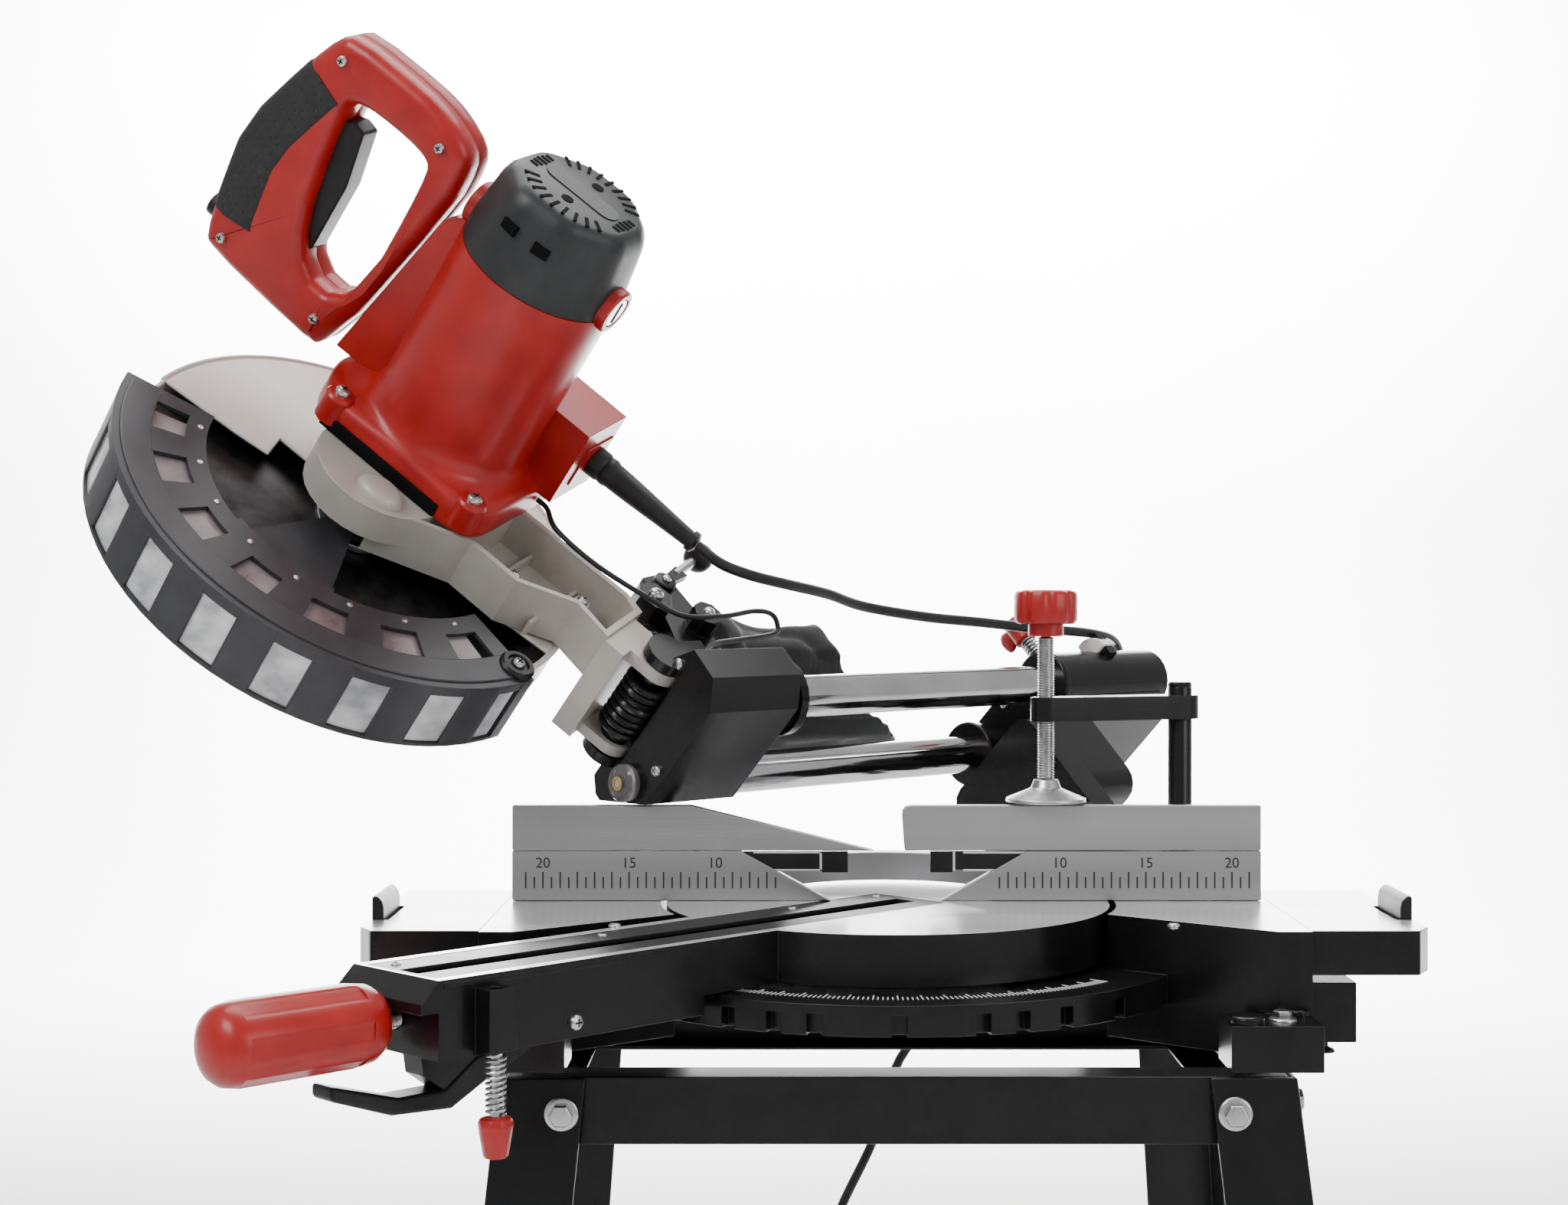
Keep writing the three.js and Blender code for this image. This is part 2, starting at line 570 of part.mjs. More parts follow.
function makeLowerGuard() {
  const g = LOWER_GUARD;
  const p1 = g.right;
  const band = (r0, r1, a0, a1, steps, q0, q1) => sideways(sector(r0, r1, a0, a1, steps), q0, q1);
  const plates = [
    band(g.inner, g.r, g.from, g.to, 30, p1 - g.wall, p1),
    band(g.inner, g.r, g.from, g.to, 30, g.left, g.left + g.wall),
  ];
  const ends = [[g.from, g.from + 3], [g.to - 3, g.to]];
  const straps = ends.map(([a0, a1]) => band(141, g.r, a0, a1, 2, g.left, p1));
  const spoke = [
    sideways(circle(0, 0, 27, 24), 12.4, 13.9, [circle(0, 0, 19.5, 24)]),
    band(22, g.inner, -115, -75, 6, 12.4, 13.9),
    band(93.5, 99, -115, -75, 6, 12.4, p1),
  ];
  const windows = [];
  const count = 7;
  for (let i = 0; i < count; i += 1) {
    const middle = g.from + 11 + ((g.to - g.from - 22) * i) / (count - 1);
    windows.push(band(109, 128, middle - 5.5, middle + 5.5, 3, p1 - g.wall - 1, p1 + 1));
  }
  add(blade, 'lower_guard', cut(join(...plates, ...straps, ...spoke), ...windows), DARK);
  const rim = band(g.r - 3, g.r, g.from + 3.5, g.to - 3.5, 30, g.left + g.wall + GAP, p1 - g.wall - GAP);
  add(blade, 'guard_rim', rim, CLEAR);
}

function makeDrive() {
  const b = BLADE;
  const disc = sideways(circle(0, 0, b.r, 60), -b.thick / 2, b.thick / 2, [circle(0, 0, b.bore, 24)]);
  add(blade, 'blade', disc, STEEL);
  const arbor = turned([
    [0, -13], [8, -13], [8, -7], [22, -7], [22, -1.5], [10, -1.5], [10, 1.5], [24, 1.5], [24, 6],
    [19, 7], [19, 25.5], [10, 25.5], [10, 44], [0, 44],
  ], 24);
  add(blade, 'arbor', arbor.rotateY(Math.PI / 2), STEEL);
  const gear = [];
  const teeth = 38;
  for (let i = 0; i < teeth; i += 1) {
    const a = (360 * i) / teeth;
    gear.push(...arc(0, 0, 37, a, a + 3.4, 1), ...arc(0, 0, 34.6, a + 4.6, a + 8.2, 1));
  }
  add(blade, 'drive_gear', sideways(gear, 31, 38, [circle(0, 0, 10.3, 24)]), STEEL);
  const armature = turned([
    [0, 30], [10.3, 30], [10.3, 39], [6, 40], [6, 80], [26, 80], [26, 160], [12, 162], [15, 166],
    [15, 184], [5, 184], [5, 206], [0, 206],
  ], 20);
  add(blade, 'armature', armature.rotateY(Math.PI / 2).translate(0, -MOTOR.f, MOTOR.v), STEEL);
}

function makeMotor() {
  const m = MOTOR;
  const tube = round(m.f, m.v, m.r, m.start - 2, m.end, 40);
  const collar = sideways(roundRect(-66, 70, -6, 104, 24), 46.3, m.start);
  const block = sideways(roundRect(-75, -30, 62, 108, 6), m.start - 2, 112);
  const lug = extrudeZ([[130, -30], [130, -66.2], [180, -55.4], [180, -30]], 36, 60);
  const lug2 = extrudeZ([[62, -36], [62, -80.7], [84, -75.8], [84, -30]], 36, 60);
  const inside = [round(m.f, m.v, m.r - 4, 58, m.end + 1, 40), round(m.f, m.v, 40, 40, 60, 32)];
  add(blade, 'motor_housing', cut(join(tube, collar, block, lug, lug2), ...inside), RED);

  const end = turned([[0, 186.3], [47.5, 186.3], [47.5, 202], [41, 232], [35, 238], [0, 238]], 40);
  end.rotateY(Math.PI / 2).translate(0, -m.f, m.v);
  const brushes = cylinderY(195, m.v, 8, -m.f - 52, -m.f + 52, 16);
  const seat = round(m.f, m.v, 43, 180, 212, 32);
  add(blade, 'motor_end_cap', cut(join(end, brushes), seat), BLACK);

  const relief = turned([[0, 75.4], [9.5, 75.4], [9.5, 84], [7.6, 90], [5, 156], [0, 156]], 16);
  relief.rotateX(-Math.PI / 2);
  add(blade, 'strain_relief', relief.translate(84, 0, 92), RUBBER);
}

function makeHandle() {
  const outer = [
    [224, 159], [231, 150], [231, 100], [228, 80], [219, 60], [209, 55], [184, 55], [58, 82], [56, 103],
    [62, 175], [69, 182], [101, 186], [144, 189], [199, 170],
  ];
  const inner = [[192, 133], [199, 125], [197, 85], [190, 80], [95, 82], [96, 121]];
  const plan = (points) => points.map(([p, f]) => [p, -f]);
  const triggerRoom = box(94, 191, -148, -112, HANDLE.v - 9, HANDLE.v + 9);
  const buttonRoom = box(73.5, 90.5, -190, -172, HANDLE.v - 8.5, HANDLE.v + 8.5);
  const halves = [
    ['lower', HANDLE.v - HANDLE.half, HANDLE.v - GAP / 2],
    ['upper', HANDLE.v + GAP / 2, HANDLE.v + HANDLE.half],
  ];
  for (const [name, v0, v1] of halves) {
    const half = extrudeZ(plan(outer), v0, v1, [plan(inner)]);
    add(blade, `handle_${name}_half`, cut(half, triggerRoom, buttonRoom), RED);
  }
  const trigger = [
    [96, 125], [104, 119], [150, 117], [184, 122], [186, 130], [182, 140], [150, 138], [104, 136],
  ];
  add(blade, 'trigger', extrudeZ(plan(trigger), HANDLE.v - 8, HANDLE.v + 8), BLACK);
  add(blade, 'lock_off_button', cylinderY(82, HANDLE.v, 8, -190, -177, 16), BLACK);
}

// ---------------------------------------------------------------- dust bag, in the raised head's pose
function makeDustBag() {
  const section = [
    [-62, 162], [-40, 158], [18, 188], [21.5, 196], [21.5, 216], [10, 222], [-35, 208], [-62, 184],
  ];
  const body = extrudeY(section, -10, 190);
  const neck = extrudeY([[-12, 180], [10, 180], [10, 212], [-12, 212]], -60, -9);
  const slant = extrudeZ([[30, 76], [-70, 200], [40, 210]], 140, 240);
  const bag = cut(join(body, neck), slant);
  const toHead = new THREE.Matrix4().copy(head.matrixWorld).invert().multiply(tilt.matrixWorld);
  add(head, 'dust_bag', bag.applyMatrix4(toHead), FABRIC);
}

// ---------------------------------------------------------------- cords, in the table frame
const MAINS_ROUTE = [
  [-110.9, 13.1, 206.6], [-97, 11, 196], [-79, 22, 189], [-59, 43, 184], [-34, 76, 178], [-11, 108, 170],
  [29, 141, 163], [67, 170, 159], [110, 208, 154], [149, 247, 150], [170, 280, 143], [177, 309, 124],
  [169, 329, 96], [158, 340, 60], [143, 345, 18], [123, 346, -26], [97, 343, -68], [61, 336, -114],
  [21, 326, -159], [2, 320, -215], [-23, 314, -266], [-50, 306, -334], [-76, 293, -430], [-90, 278, -540],
  [-94, 265, -640], [-91, 254, -715], [-86, 243, -756], [-79, 222, -782], [-73, 194, -786.4],
];
const LASER_ROUTE = [
  [-205.3, 17.3, 233.8], [-199.4, 15.3, 228.5], [-192, 5, 215], [-168, -1, 194.5], [-138, 4, 175.4],
  [-119, 13, 165.5], [-96, 37, 165], [-79, 62, 167.6], [-69, 74, 166], [-65, 78, 160], [-67, 73, 153.5],
  [-88, 41, 150.6], [-101, 18, 149], [-105, 5, 145], [-102, -0.6, 139.7],
];

function tube(route, r, sides, steps) {
  const path = new THREE.CatmullRomCurve3(route.map(([x, y, z]) => new THREE.Vector3(x, y, z)));
  const geometry = new THREE.ExtrudeGeometry(shapeOf(circle(0, 0, r, sides)), {
    steps, bevelEnabled: false, extrudePath: path,
  });
  return geometry;
}

function makeCords() {
  add(table, 'mains_cord', tube(MAINS_ROUTE, CORD.r, 8, 78), RUBBER);
  add(table, 'laser_cable', tube(LASER_ROUTE, LASER_CORD_R, 8, 40), RUBBER);

  const floor = -TABLE_HEIGHT + GAP;
  const [r0, r1] = [CORD.coilR - 2 * CORD.r, CORD.coilR + 2 * CORD.r];
  const ring = [[r0, 0], [r1, 0], [r1, CORD.coilHeight], [r0, CORD.coilHeight], [r0, 0]];
  const coil = new THREE.LatheGeometry(ring.map(([r, z]) => new THREE.Vector2(r, z)), 32);
  add(table, 'cord_coil', coil.rotateX(Math.PI / 2).translate(CORD.coilX, CORD.coilY, floor), RUBBER);

  const x = CORD.coilX - CORD.coilR;
  const y = CORD.coilY + 30;
  const outline = [[-5, 0], [5, 0], [7, 22], [18, 34], [18, 52], [-18, 52], [-18, 34], [-7, 22]];
  const plug = join(
    extrudeZ(outline.map(([a, b]) => [x + a, y + b]), floor, floor + 20),
    cylinderY(x - 9.5, floor + 10, 2.4, y + 50, y + 71, 12),
    cylinderY(x + 9.5, floor + 10, 2.4, y + 50, y + 71, 12),
  );
  add(table, 'plug', plug, RUBBER);
}

makeStand();
makeBase();
makeFences();
makeWings();
makeClamp();
makeTurntable();
makeTilt();
makeSlide();
product.updateMatrixWorld(true);
makeHeadCasting();
makeUpperGuard();
makeLowerGuard();
makeDrive();
makeMotor();
makeHandle();
makeDustBag();
makeCords();

// ---------------------------------------------------------------- origin: centre of the footprint, on the floor
const CORD_NODES = ['mains_cord', 'laser_cable', 'cord_coil', 'plug'];
product.updateMatrixWorld(true);
const bounds = new THREE.Box3();
product.traverse((node) => {
  if (node.isMesh && !CORD_NODES.includes(node.name)) {
    bounds.expandByObject(node, true);
  }
});
table.position.x -= (bounds.min.x + bounds.max.x) / 2;
table.position.y -= (bounds.min.y + bounds.max.y) / 2;

export default product;
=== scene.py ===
"""Detailed model of a sliding compound mitre saw on its stand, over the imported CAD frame."""

import json
import math
import bmesh
import bpy
from mathutils import Matrix, Vector, noise


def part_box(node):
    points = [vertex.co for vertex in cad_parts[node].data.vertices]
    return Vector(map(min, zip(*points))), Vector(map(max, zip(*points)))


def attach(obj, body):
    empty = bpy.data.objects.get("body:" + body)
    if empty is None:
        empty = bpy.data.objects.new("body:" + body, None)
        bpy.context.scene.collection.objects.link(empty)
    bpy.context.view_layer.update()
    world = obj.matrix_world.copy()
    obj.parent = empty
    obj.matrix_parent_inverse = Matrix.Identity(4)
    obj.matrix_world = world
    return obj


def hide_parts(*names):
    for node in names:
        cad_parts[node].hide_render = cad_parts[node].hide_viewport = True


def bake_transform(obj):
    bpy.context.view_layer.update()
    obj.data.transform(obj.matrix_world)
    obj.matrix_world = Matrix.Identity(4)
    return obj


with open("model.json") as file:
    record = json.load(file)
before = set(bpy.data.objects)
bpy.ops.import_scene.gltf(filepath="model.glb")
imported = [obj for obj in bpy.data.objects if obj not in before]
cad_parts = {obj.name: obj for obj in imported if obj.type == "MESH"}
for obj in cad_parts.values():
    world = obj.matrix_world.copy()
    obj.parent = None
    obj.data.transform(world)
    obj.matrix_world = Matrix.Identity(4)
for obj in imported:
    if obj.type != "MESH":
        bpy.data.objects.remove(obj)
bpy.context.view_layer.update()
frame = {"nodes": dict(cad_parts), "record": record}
NODES = frame["nodes"]
rad = math.radians

# ---------------------------------------------------------------- frames, in millimetres
low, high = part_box("base_casting")
CENTRE = Vector(((low.x + high.x) / 2, low.y + 0.168, high.z))
TABLE = Matrix.Translation(CENTRE) @ Matrix.Scale(0.001, 4)
TURN = TABLE @ Matrix.Rotation(-rad(45), 4, "Z")
TILT = TURN @ Matrix.Rotation(-rad(45), 4, "Y")
HEAD = TILT @ Matrix.Translation((0, -104, 154)) @ Matrix.Rotation(-rad(63), 4, "X")
REACH = math.hypot(118, 152)
LIFT = math.atan2(152, 118) - rad(63)
BLADE = HEAD @ Matrix.Translation((0, -REACH * math.cos(LIFT), REACH * math.sin(LIFT)))
GUARD_P = (-22, 24.5)
MOTOR_F, MOTOR_V = -4, 48
UP, AHEAD, OUT = (0, 0, 1), (0, -1, 0), (1, 0, 0)


# ---------------------------------------------------------------- materials
def material(name, dark, light, rough, metallic=0.0, size=0.02, grain=0.0, grain_size=0.0006,
             stretch=(1, 1, 1), coat=0.0, clear=0.0, rough_spread=0.08, specular=0.5):
    m = bpy.data.materials.new(name)
    m.use_nodes = True
    nodes, links = m.node_tree.nodes, m.node_tree.links
    shader = nodes["Principled BSDF"]
    shader.inputs["Metallic"].default_value = metallic
    shader.inputs["Coat Weight"].default_value = coat
    shader.inputs["Coat Roughness"].default_value = 0.12
    shader.inputs["Transmission Weight"].default_value = clear
    shader.inputs["IOR"].default_value = 1.49
    shader.inputs["Specular IOR Level"].default_value = specular
    place = nodes.new("ShaderNodeTexCoord")
    mapping = nodes.new("ShaderNodeMapping")
    mapping.inputs["Scale"].default_value = stretch
    links.new(place.outputs["Object"], mapping.inputs["Vector"])
    broad = nodes.new("ShaderNodeTexNoise")
    broad.inputs["Scale"].default_value = 1 / size
    broad.inputs["Detail"].default_value = 5
    links.new(mapping.outputs["Vector"], broad.inputs["Vector"])
    ramp = nodes.new("ShaderNodeValToRGB")
    ramp.color_ramp.elements[0].position = 0.3
    ramp.color_ramp.elements[1].position = 0.7
    ramp.color_ramp.elements[0].color = (*dark, 1)
    ramp.color_ramp.elements[1].color = (*light, 1)
    links.new(broad.outputs["Fac"], ramp.inputs["Fac"])
    links.new(ramp.outputs["Color"], shader.inputs["Base Color"])
    spread = nodes.new("ShaderNodeMapRange")
    spread.inputs["To Min"].default_value = max(0.02, rough - rough_spread)
    spread.inputs["To Max"].default_value = rough + rough_spread
    links.new(broad.outputs["Fac"], spread.inputs["Value"])
    links.new(spread.outputs["Result"], shader.inputs["Roughness"])
    if grain:
        fine = nodes.new("ShaderNodeTexNoise")
        fine.inputs["Scale"].default_value = 1 / grain_size
        fine.inputs["Detail"].default_value = 2
        links.new(mapping.outputs["Vector"], fine.inputs["Vector"])
        bump = nodes.new("ShaderNodeBump")
        bump.inputs["Strength"].default_value = grain
        bump.inputs["Distance"].default_value = grain_size * 0.3
        links.new(fine.outputs["Fac"], bump.inputs["Height"])
        links.new(bump.outputs["Normal"], shader.inputs["Normal"])
    return m


def dimpled(m, cell, depth):
    """Adds a regular field of small pits to a material."""
    nodes, links = m.node_tree.nodes, m.node_tree.links
    place = nodes.new("ShaderNodeTexCoord")
    cells = nodes.new("ShaderNodeTexVoronoi")
    cells.inputs["Scale"].default_value = 1 / cell
    cells.inputs["Randomness"].default_value = 0.0
    links.new(place.outputs["Object"], cells.inputs["Vector"])
    edge = nodes.new("ShaderNodeMapRange")
    edge.interpolation_type = "SMOOTHSTEP"
    edge.inputs["From Min"].default_value = 0.2
    edge.inputs["From Max"].default_value = 0.34
    links.new(cells.outputs["Distance"], edge.inputs["Value"])
    bump = nodes.new("ShaderNodeBump")
    bump.inputs["Strength"].default_value = 0.8
    bump.inputs["Distance"].default_value = depth
    links.new(edge.outputs["Result"], bump.inputs["Height"])
    links.new(bump.outputs["Normal"], nodes["Principled BSDF"].inputs["Normal"])


def woven(name, dark, light, thread):
    """Cloth with a plain weave of that thread spacing."""
    m = material(name, dark, light, 0.75, size=0.03, rough_spread=0.12)
    nodes, links = m.node_tree.nodes, m.node_tree.links
    shader = nodes["Principled BSDF"]
    shader.inputs["Sheen Weight"].default_value = 0.25
    shader.inputs["Sheen Roughness"].default_value = 0.4
    place = nodes.new("ShaderNodeTexCoord")
    waves = []
    for direction in ("X", "Z"):
        wave = nodes.new("ShaderNodeTexWave")
        wave.bands_direction = direction
        wave.inputs["Scale"].default_value = 0.314 / thread
        wave.inputs["Distortion"].default_value = 0.6
        links.new(place.outputs["Object"], wave.inputs["Vector"])
        waves.append(wave)
    both = nodes.new("ShaderNodeMath")
    both.operation = "MULTIPLY"
    links.new(waves[0].outputs["Fac"], both.inputs[0])
    links.new(waves[1].outputs["Fac"], both.inputs[1])
    bump = nodes.new("ShaderNodeBump")
    bump.inputs["Strength"].default_value = 0.5
    bump.inputs["Distance"].default_value = thread * 0.4
    links.new(both.outputs["Value"], bump.inputs["Height"])
    links.new(bump.outputs["Normal"], shader.inputs["Normal"])
    return m


RED = material("red_plastic", (0.30, 0.006, 0.006), (0.38, 0.011, 0.009), 0.34, grain=0.12, coat=0.1,
               specular=0.4)
BLACK = material("black_paint", (0.0035, 0.0035, 0.004), (0.0055, 0.0055, 0.006), 0.24, grain=0.1,
                 grain_size=0.0012, coat=0.06, rough_spread=0.03, specular=0.3)
PLASTIC = material("black_plastic", (0.005, 0.005, 0.0055), (0.010, 0.010, 0.011), 0.4, grain=0.3,
                   specular=0.3)
CAP = material("cap_plastic", (0.013, 0.014, 0.015), (0.021, 0.022, 0.024), 0.42, grain=0.25, specular=0.4)
GREY = material("grey_casting", (0.37, 0.34, 0.305), (0.43, 0.40, 0.36), 0.42, metallic=0.15, grain=0.25,
                grain_size=0.0015)
# Upper guard colour: a lighter copy of the grey casting colour. The guard belongs to the same grey casting,
# so its extra lightness is painted light.
PAINTED_LIT_GREY = material("pale_guard", (0.52, 0.475, 0.43), (0.58, 0.53, 0.49), 0.4, metallic=0.1, grain=0.15,
                grain_size=0.0012)
DARK = material("guard_plastic", (0.020, 0.020, 0.023), (0.030, 0.030, 0.034), 0.38, grain=0.25,
                specular=0.4)
# Clear rim: mostly opaque, with near-white streaks in its colour that are painted highlights and painted
# background light seen through the clear plastic.
CLEAR_PAINTED_SHEEN = material("clear_plastic", (0.34, 0.35, 0.37), (0.97, 0.97, 0.98), 0.12, size=0.024, clear=0.25,
                 coat=0.6, stretch=(1, 0.5, 1.6), rough_spread=0.1)
SMOKE = material("smoky_plastic", (0.42, 0.40, 0.42), (0.55, 0.52, 0.54), 0.12, clear=0.85,
                 rough_spread=0.05)
TINT = material("tinted_plastic", (0.16, 0.10, 0.105), (0.42, 0.37, 0.375), 0.3, size=0.03, clear=0.4,
                rough_spread=0.1)
FENCE = material("brushed_aluminium", (0.30, 0.30, 0.305), (0.40, 0.40, 0.41), 0.42, metallic=0.85,
                 size=0.05, grain=0.35, grain_size=0.0008, stretch=(0.06, 1, 1.6))
TOP = material("machined_top", (0.72, 0.72, 0.73), (0.86, 0.86, 0.87), 0.26, metallic=0.7, size=0.04,
               grain=0.12, grain_size=0.0009, stretch=(0.1, 1, 1))
STEEL = material("bright_steel", (0.46, 0.46, 0.47), (0.60, 0.60, 0.61), 0.28, metallic=1.0, size=0.01,
                 grain=0.15, grain_size=0.0005)
CHROME = material("rail_chrome", (0.50, 0.50, 0.51), (0.62, 0.62, 0.63), 0.12, metallic=1.0, size=0.03,
                  stretch=(0.3, 1, 1), rough_spread=0.05)
DISC = material("blade_steel", (0.035, 0.035, 0.037), (0.075, 0.075, 0.078), 0.4, metallic=1.0, size=0.012,
                grain=0.2, grain_size=0.0006)
CARBIDE = material("carbide", (0.20, 0.20, 0.20), (0.28, 0.28, 0.28), 0.4, metallic=1.0, size=0.003)
BRASS = material("brass", (0.55, 0.36, 0.14), (0.66, 0.45, 0.19), 0.25, metallic=1.0, size=0.004)
RUBBER = material("black_rubber", (0.006, 0.006, 0.0065), (0.013, 0.013, 0.014), 0.45, grain=0.3,
                  specular=0.35)
GRIP = material("grip_rubber", (0.013, 0.013, 0.014), (0.021, 0.021, 0.023), 0.6, specular=0.35)
dimpled(GRIP, 0.0042, 0.0006)
# Near-black material set into holes, slots and vent openings: painted shade standing in for the shade inside
# those recesses.
RECESS_SHADE = material("recess", (0.002, 0.002, 0.002), (0.004, 0.004, 0.004), 0.8, specular=0.1)
INK = material("scale_ink", (0.006, 0.006, 0.006), (0.014, 0.014, 0.014), 0.5)
WHITE = material("white_plastic", (0.70, 0.70, 0.69), (0.80, 0.80, 0.79), 0.4, grain=0.1)
STAND = material("stand_paint", (0.0035, 0.0035, 0.004), (0.0055, 0.0055, 0.006), 0.3, grain=0.15,
                 grain_size=0.0014, coat=0.05, rough_spread=0.04, specular=0.28)
SPRING = material("spring_steel", (0.006, 0.006, 0.0065), (0.018, 0.018, 0.019), 0.2, metallic=0.4,
                  size=0.006)
CLOTH = woven("bag_fabric", (0.005, 0.005, 0.0055), (0.011, 0.011, 0.012), 0.0007)
FLOOR = material("floor_paint", (0.80, 0.80, 0.80), (0.83, 0.83, 0.83), 0.7, size=0.6)

SLOT = {
    "red_plastic": RED, "black_casting": BLACK, "black_plastic": PLASTIC, "grey_casting": GREY,
    "pale_guard": PAINTED_LIT_GREY, "dark_plastic": DARK, "clear_plastic": CLEAR_PAINTED_SHEEN, "fence_aluminium": FENCE,
    "bright_steel": STEEL, "rail_chrome": CHROME, "black_rubber": RUBBER, "bag_fabric": CLOTH,
    "stand_paint": STAND,
}
SLOT_OF = {s["node"]: s["material_slot"] for s in frame["record"]["subparts"]}
BODY_OF = {n: b for b, members in frame["record"]["behaviour"]["bodies"].items() for n in members}


# ---------------------------------------------------------------- mesh building
def arc(cx, cy, r, start, end, steps):
    return [(cx + r * math.cos(rad(start + (end - start) * i / steps)),
             cy + r * math.sin(rad(start + (end - start) * i / steps))) for i in range(steps + 1)]


def circle(cx, cy, r, steps=24):
    return arc(cx, cy, r, 0, 360 - 360 / steps, steps - 1)


def around(steps):
    return [2 * math.pi * k / steps for k in range(steps)]


def bulge(a, power):
    """Cosine and sine of a, pushed out towards a square as power falls below 1."""
    c, s = math.cos(a), math.sin(a)
    return math.copysign(abs(c) ** power, c), math.copysign(abs(s) ** power, s)


def facing(along):
    """Rotation that takes the Z axis to that direction."""
    return Vector(UP).rotation_difference(Vector(along)).to_matrix()


AXES = {"x": lambda a, b, h: (h, a, b), "y": lambda a, b, h: (a, h, b), "z": lambda a, b, h: (a, b, h)}


class Piece:
    """Gathers closed shells, in millimetres of one frame, into one object."""

    def __init__(self, name, at, *materials):
        self.name, self.at, self.materials = name, at, materials
        self.bm = bmesh.new()

    def loft(self, loops, slot=0, caps=True, closed=False):
        rings = [[self.bm.verts.new(p) for p in loop] for loop in loops]
        faces = []
        pairs = list(zip(rings, rings[1:])) + ([(rings[-1], rings[0])] if closed else [])
        for a, b in pairs:
            n = len(a)
            for i in range(n):
                faces.append(self.bm.faces.new((a[i], a[(i + 1) % n], b[(i + 1) % n], b[i])))
        if caps and not closed:
            faces += [self.bm.faces.new(rings[0]), self.bm.faces.new(rings[-1])]
        for f in faces:
            f.material_index = slot
        return self

    def prism(self, points, lo, hi, axis="z", slot=0):
        put = AXES[axis]
        return self.loft([[put(a, b, lo) for a, b in points], [put(a, b, hi) for a, b in points]], slot)

    def box(self, lo, hi, slot=0):
        corners = [(lo[0], lo[1]), (hi[0], lo[1]), (hi[0], hi[1]), (lo[0], hi[1])]
        return self.prism(corners, lo[2], hi[2], "z", slot)

    def lathe(self, profile, at=(0, 0, 0), along=UP, steps=32, slot=0, ripple=None):
        turn = facing(along)
        loops = []
        for r, h in profile:
            loop = []
            for i in range(steps):
                a = 2 * math.pi * i / steps
                k = ripple(a) if ripple else 1
                loop.append(turn @ Vector((r * k * math.cos(a), r * k * math.sin(a), h)) + Vector(at))
            loops.append(loop)
        return self.loft(loops, slot)

    def pipe(self, path, radius, sides=12, slot=0):
        points = [Vector(p) for p in path]
        loops = []
        normal = None
        for i, p in enumerate(points):
            t = (points[min(i + 1, len(points) - 1)] - points[max(i - 1, 0)]).normalized()
            if normal is None:
                normal = t.orthogonal().normalized()
            normal = (normal - t * normal.dot(t)).normalized()
            side = t.cross(normal)
            r = radius[i] if isinstance(radius, list) else radius
            loops.append([p + (normal * math.cos(a) + side * math.sin(a)) * r
                          for a in around(sides)])
        return self.loft(loops, slot)

    def screw(self, at, along, r, steel=0, dark=1):
        """Pan head with a cross recess."""
        h = r * 0.75
        profile = [(r * 0.2, -1), (r, -0.6), (r, h * 0.4), (r * 0.84, h * 0.8), (r * 0.5, h),
                   (r * 0.05, h * 1.03)]
        self.lathe(profile, at, along, 20, steel)
        turn = facing(along)
        # The cross recess is a near-black block in the dark slot, rising through the head top: painted shade
        # in place of a cut hole.
        for sx, sy in ((0.52, 0.1), (0.1, 0.52)):
            corners = [(-sx, -sy), (sx, -sy), (sx, sy), (-sx, sy)]
            self.loft([[turn @ Vector((a * r, b * r, z)) + Vector(at) for a, b in corners]
                       for z in (h * 0.8, h * 1.09)], dark)
        return self

    def bolt(self, at, along, r, steel=0):
        """Hexagon head on a round flange."""
        self.lathe([(r * 0.3, -0.5), (r, -0.4), (r, r * 0.12), (r * 0.9, r * 0.2), (r * 0.72, r * 0.24)],
                   at, along, 32, steel)
        self.lathe([(r * 0.7, r * 0.2), (r * 0.7, r * 0.62), (r * 0.6, r * 0.72), (r * 0.1, r * 0.72)],
                   at, along, 6, steel)
        self.lathe([(r * 0.5, r * 0.6), (r * 0.5, r * 0.735), (r * 0.42, r * 0.7), (r * 0.05, r * 0.7)],
                   at, along, 24, steel)
        return self

    def helix(self, r, wire, start, end, turns, at, along, slot=0, steps=18):
        turn = facing(along)
        n = int(turns * steps)
        path = [turn @ Vector((r * math.cos(2 * math.pi * i / steps), r * math.sin(2 * math.pi * i / steps),
                               start + (end - start) * i / n)) + Vector(at) for i in range(n + 1)]
        return self.pipe(path, wire, 8, slot)

    def done(self, body, replaces=(), bevel=0.0, segments=2, smooth=35):
        bmesh.ops.recalc_face_normals(self.bm, faces=self.bm.faces)
        mesh = bpy.data.meshes.new(self.name)
        self.bm.to_mesh(mesh)
        self.bm.free()
        mesh.transform(self.at)
        return settle(self.name, mesh, self.materials, body, replaces, bevel, segments, smooth)


def settle(name, mesh, materials, body, replaces=(), bevel=0.0, segments=2, smooth=35):
    for m in materials:
        mesh.materials.append(m)
    piece = bpy.data.objects.new(name, mesh)
    bpy.context.scene.collection.objects.link(piece)
    mesh.shade_smooth()
    if bevel:
        modifier = piece.modifiers.new("edges", "BEVEL")
        modifier.width = bevel / 1000
        modifier.segments = segments
        modifier.limit_method = "ANGLE"
        modifier.angle_limit = rad(32)
        modifier.miter_outer = "MITER_ARC"
        weighted = piece.modifiers.new("normals", "WEIGHTED_NORMAL")
        weighted.weight = 60
    else:
        mesh.set_sharp_from_angle(angle=rad(smooth))
    if body:
        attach(piece, body)
    if replaces:
        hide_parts(*replaces)
    return piece


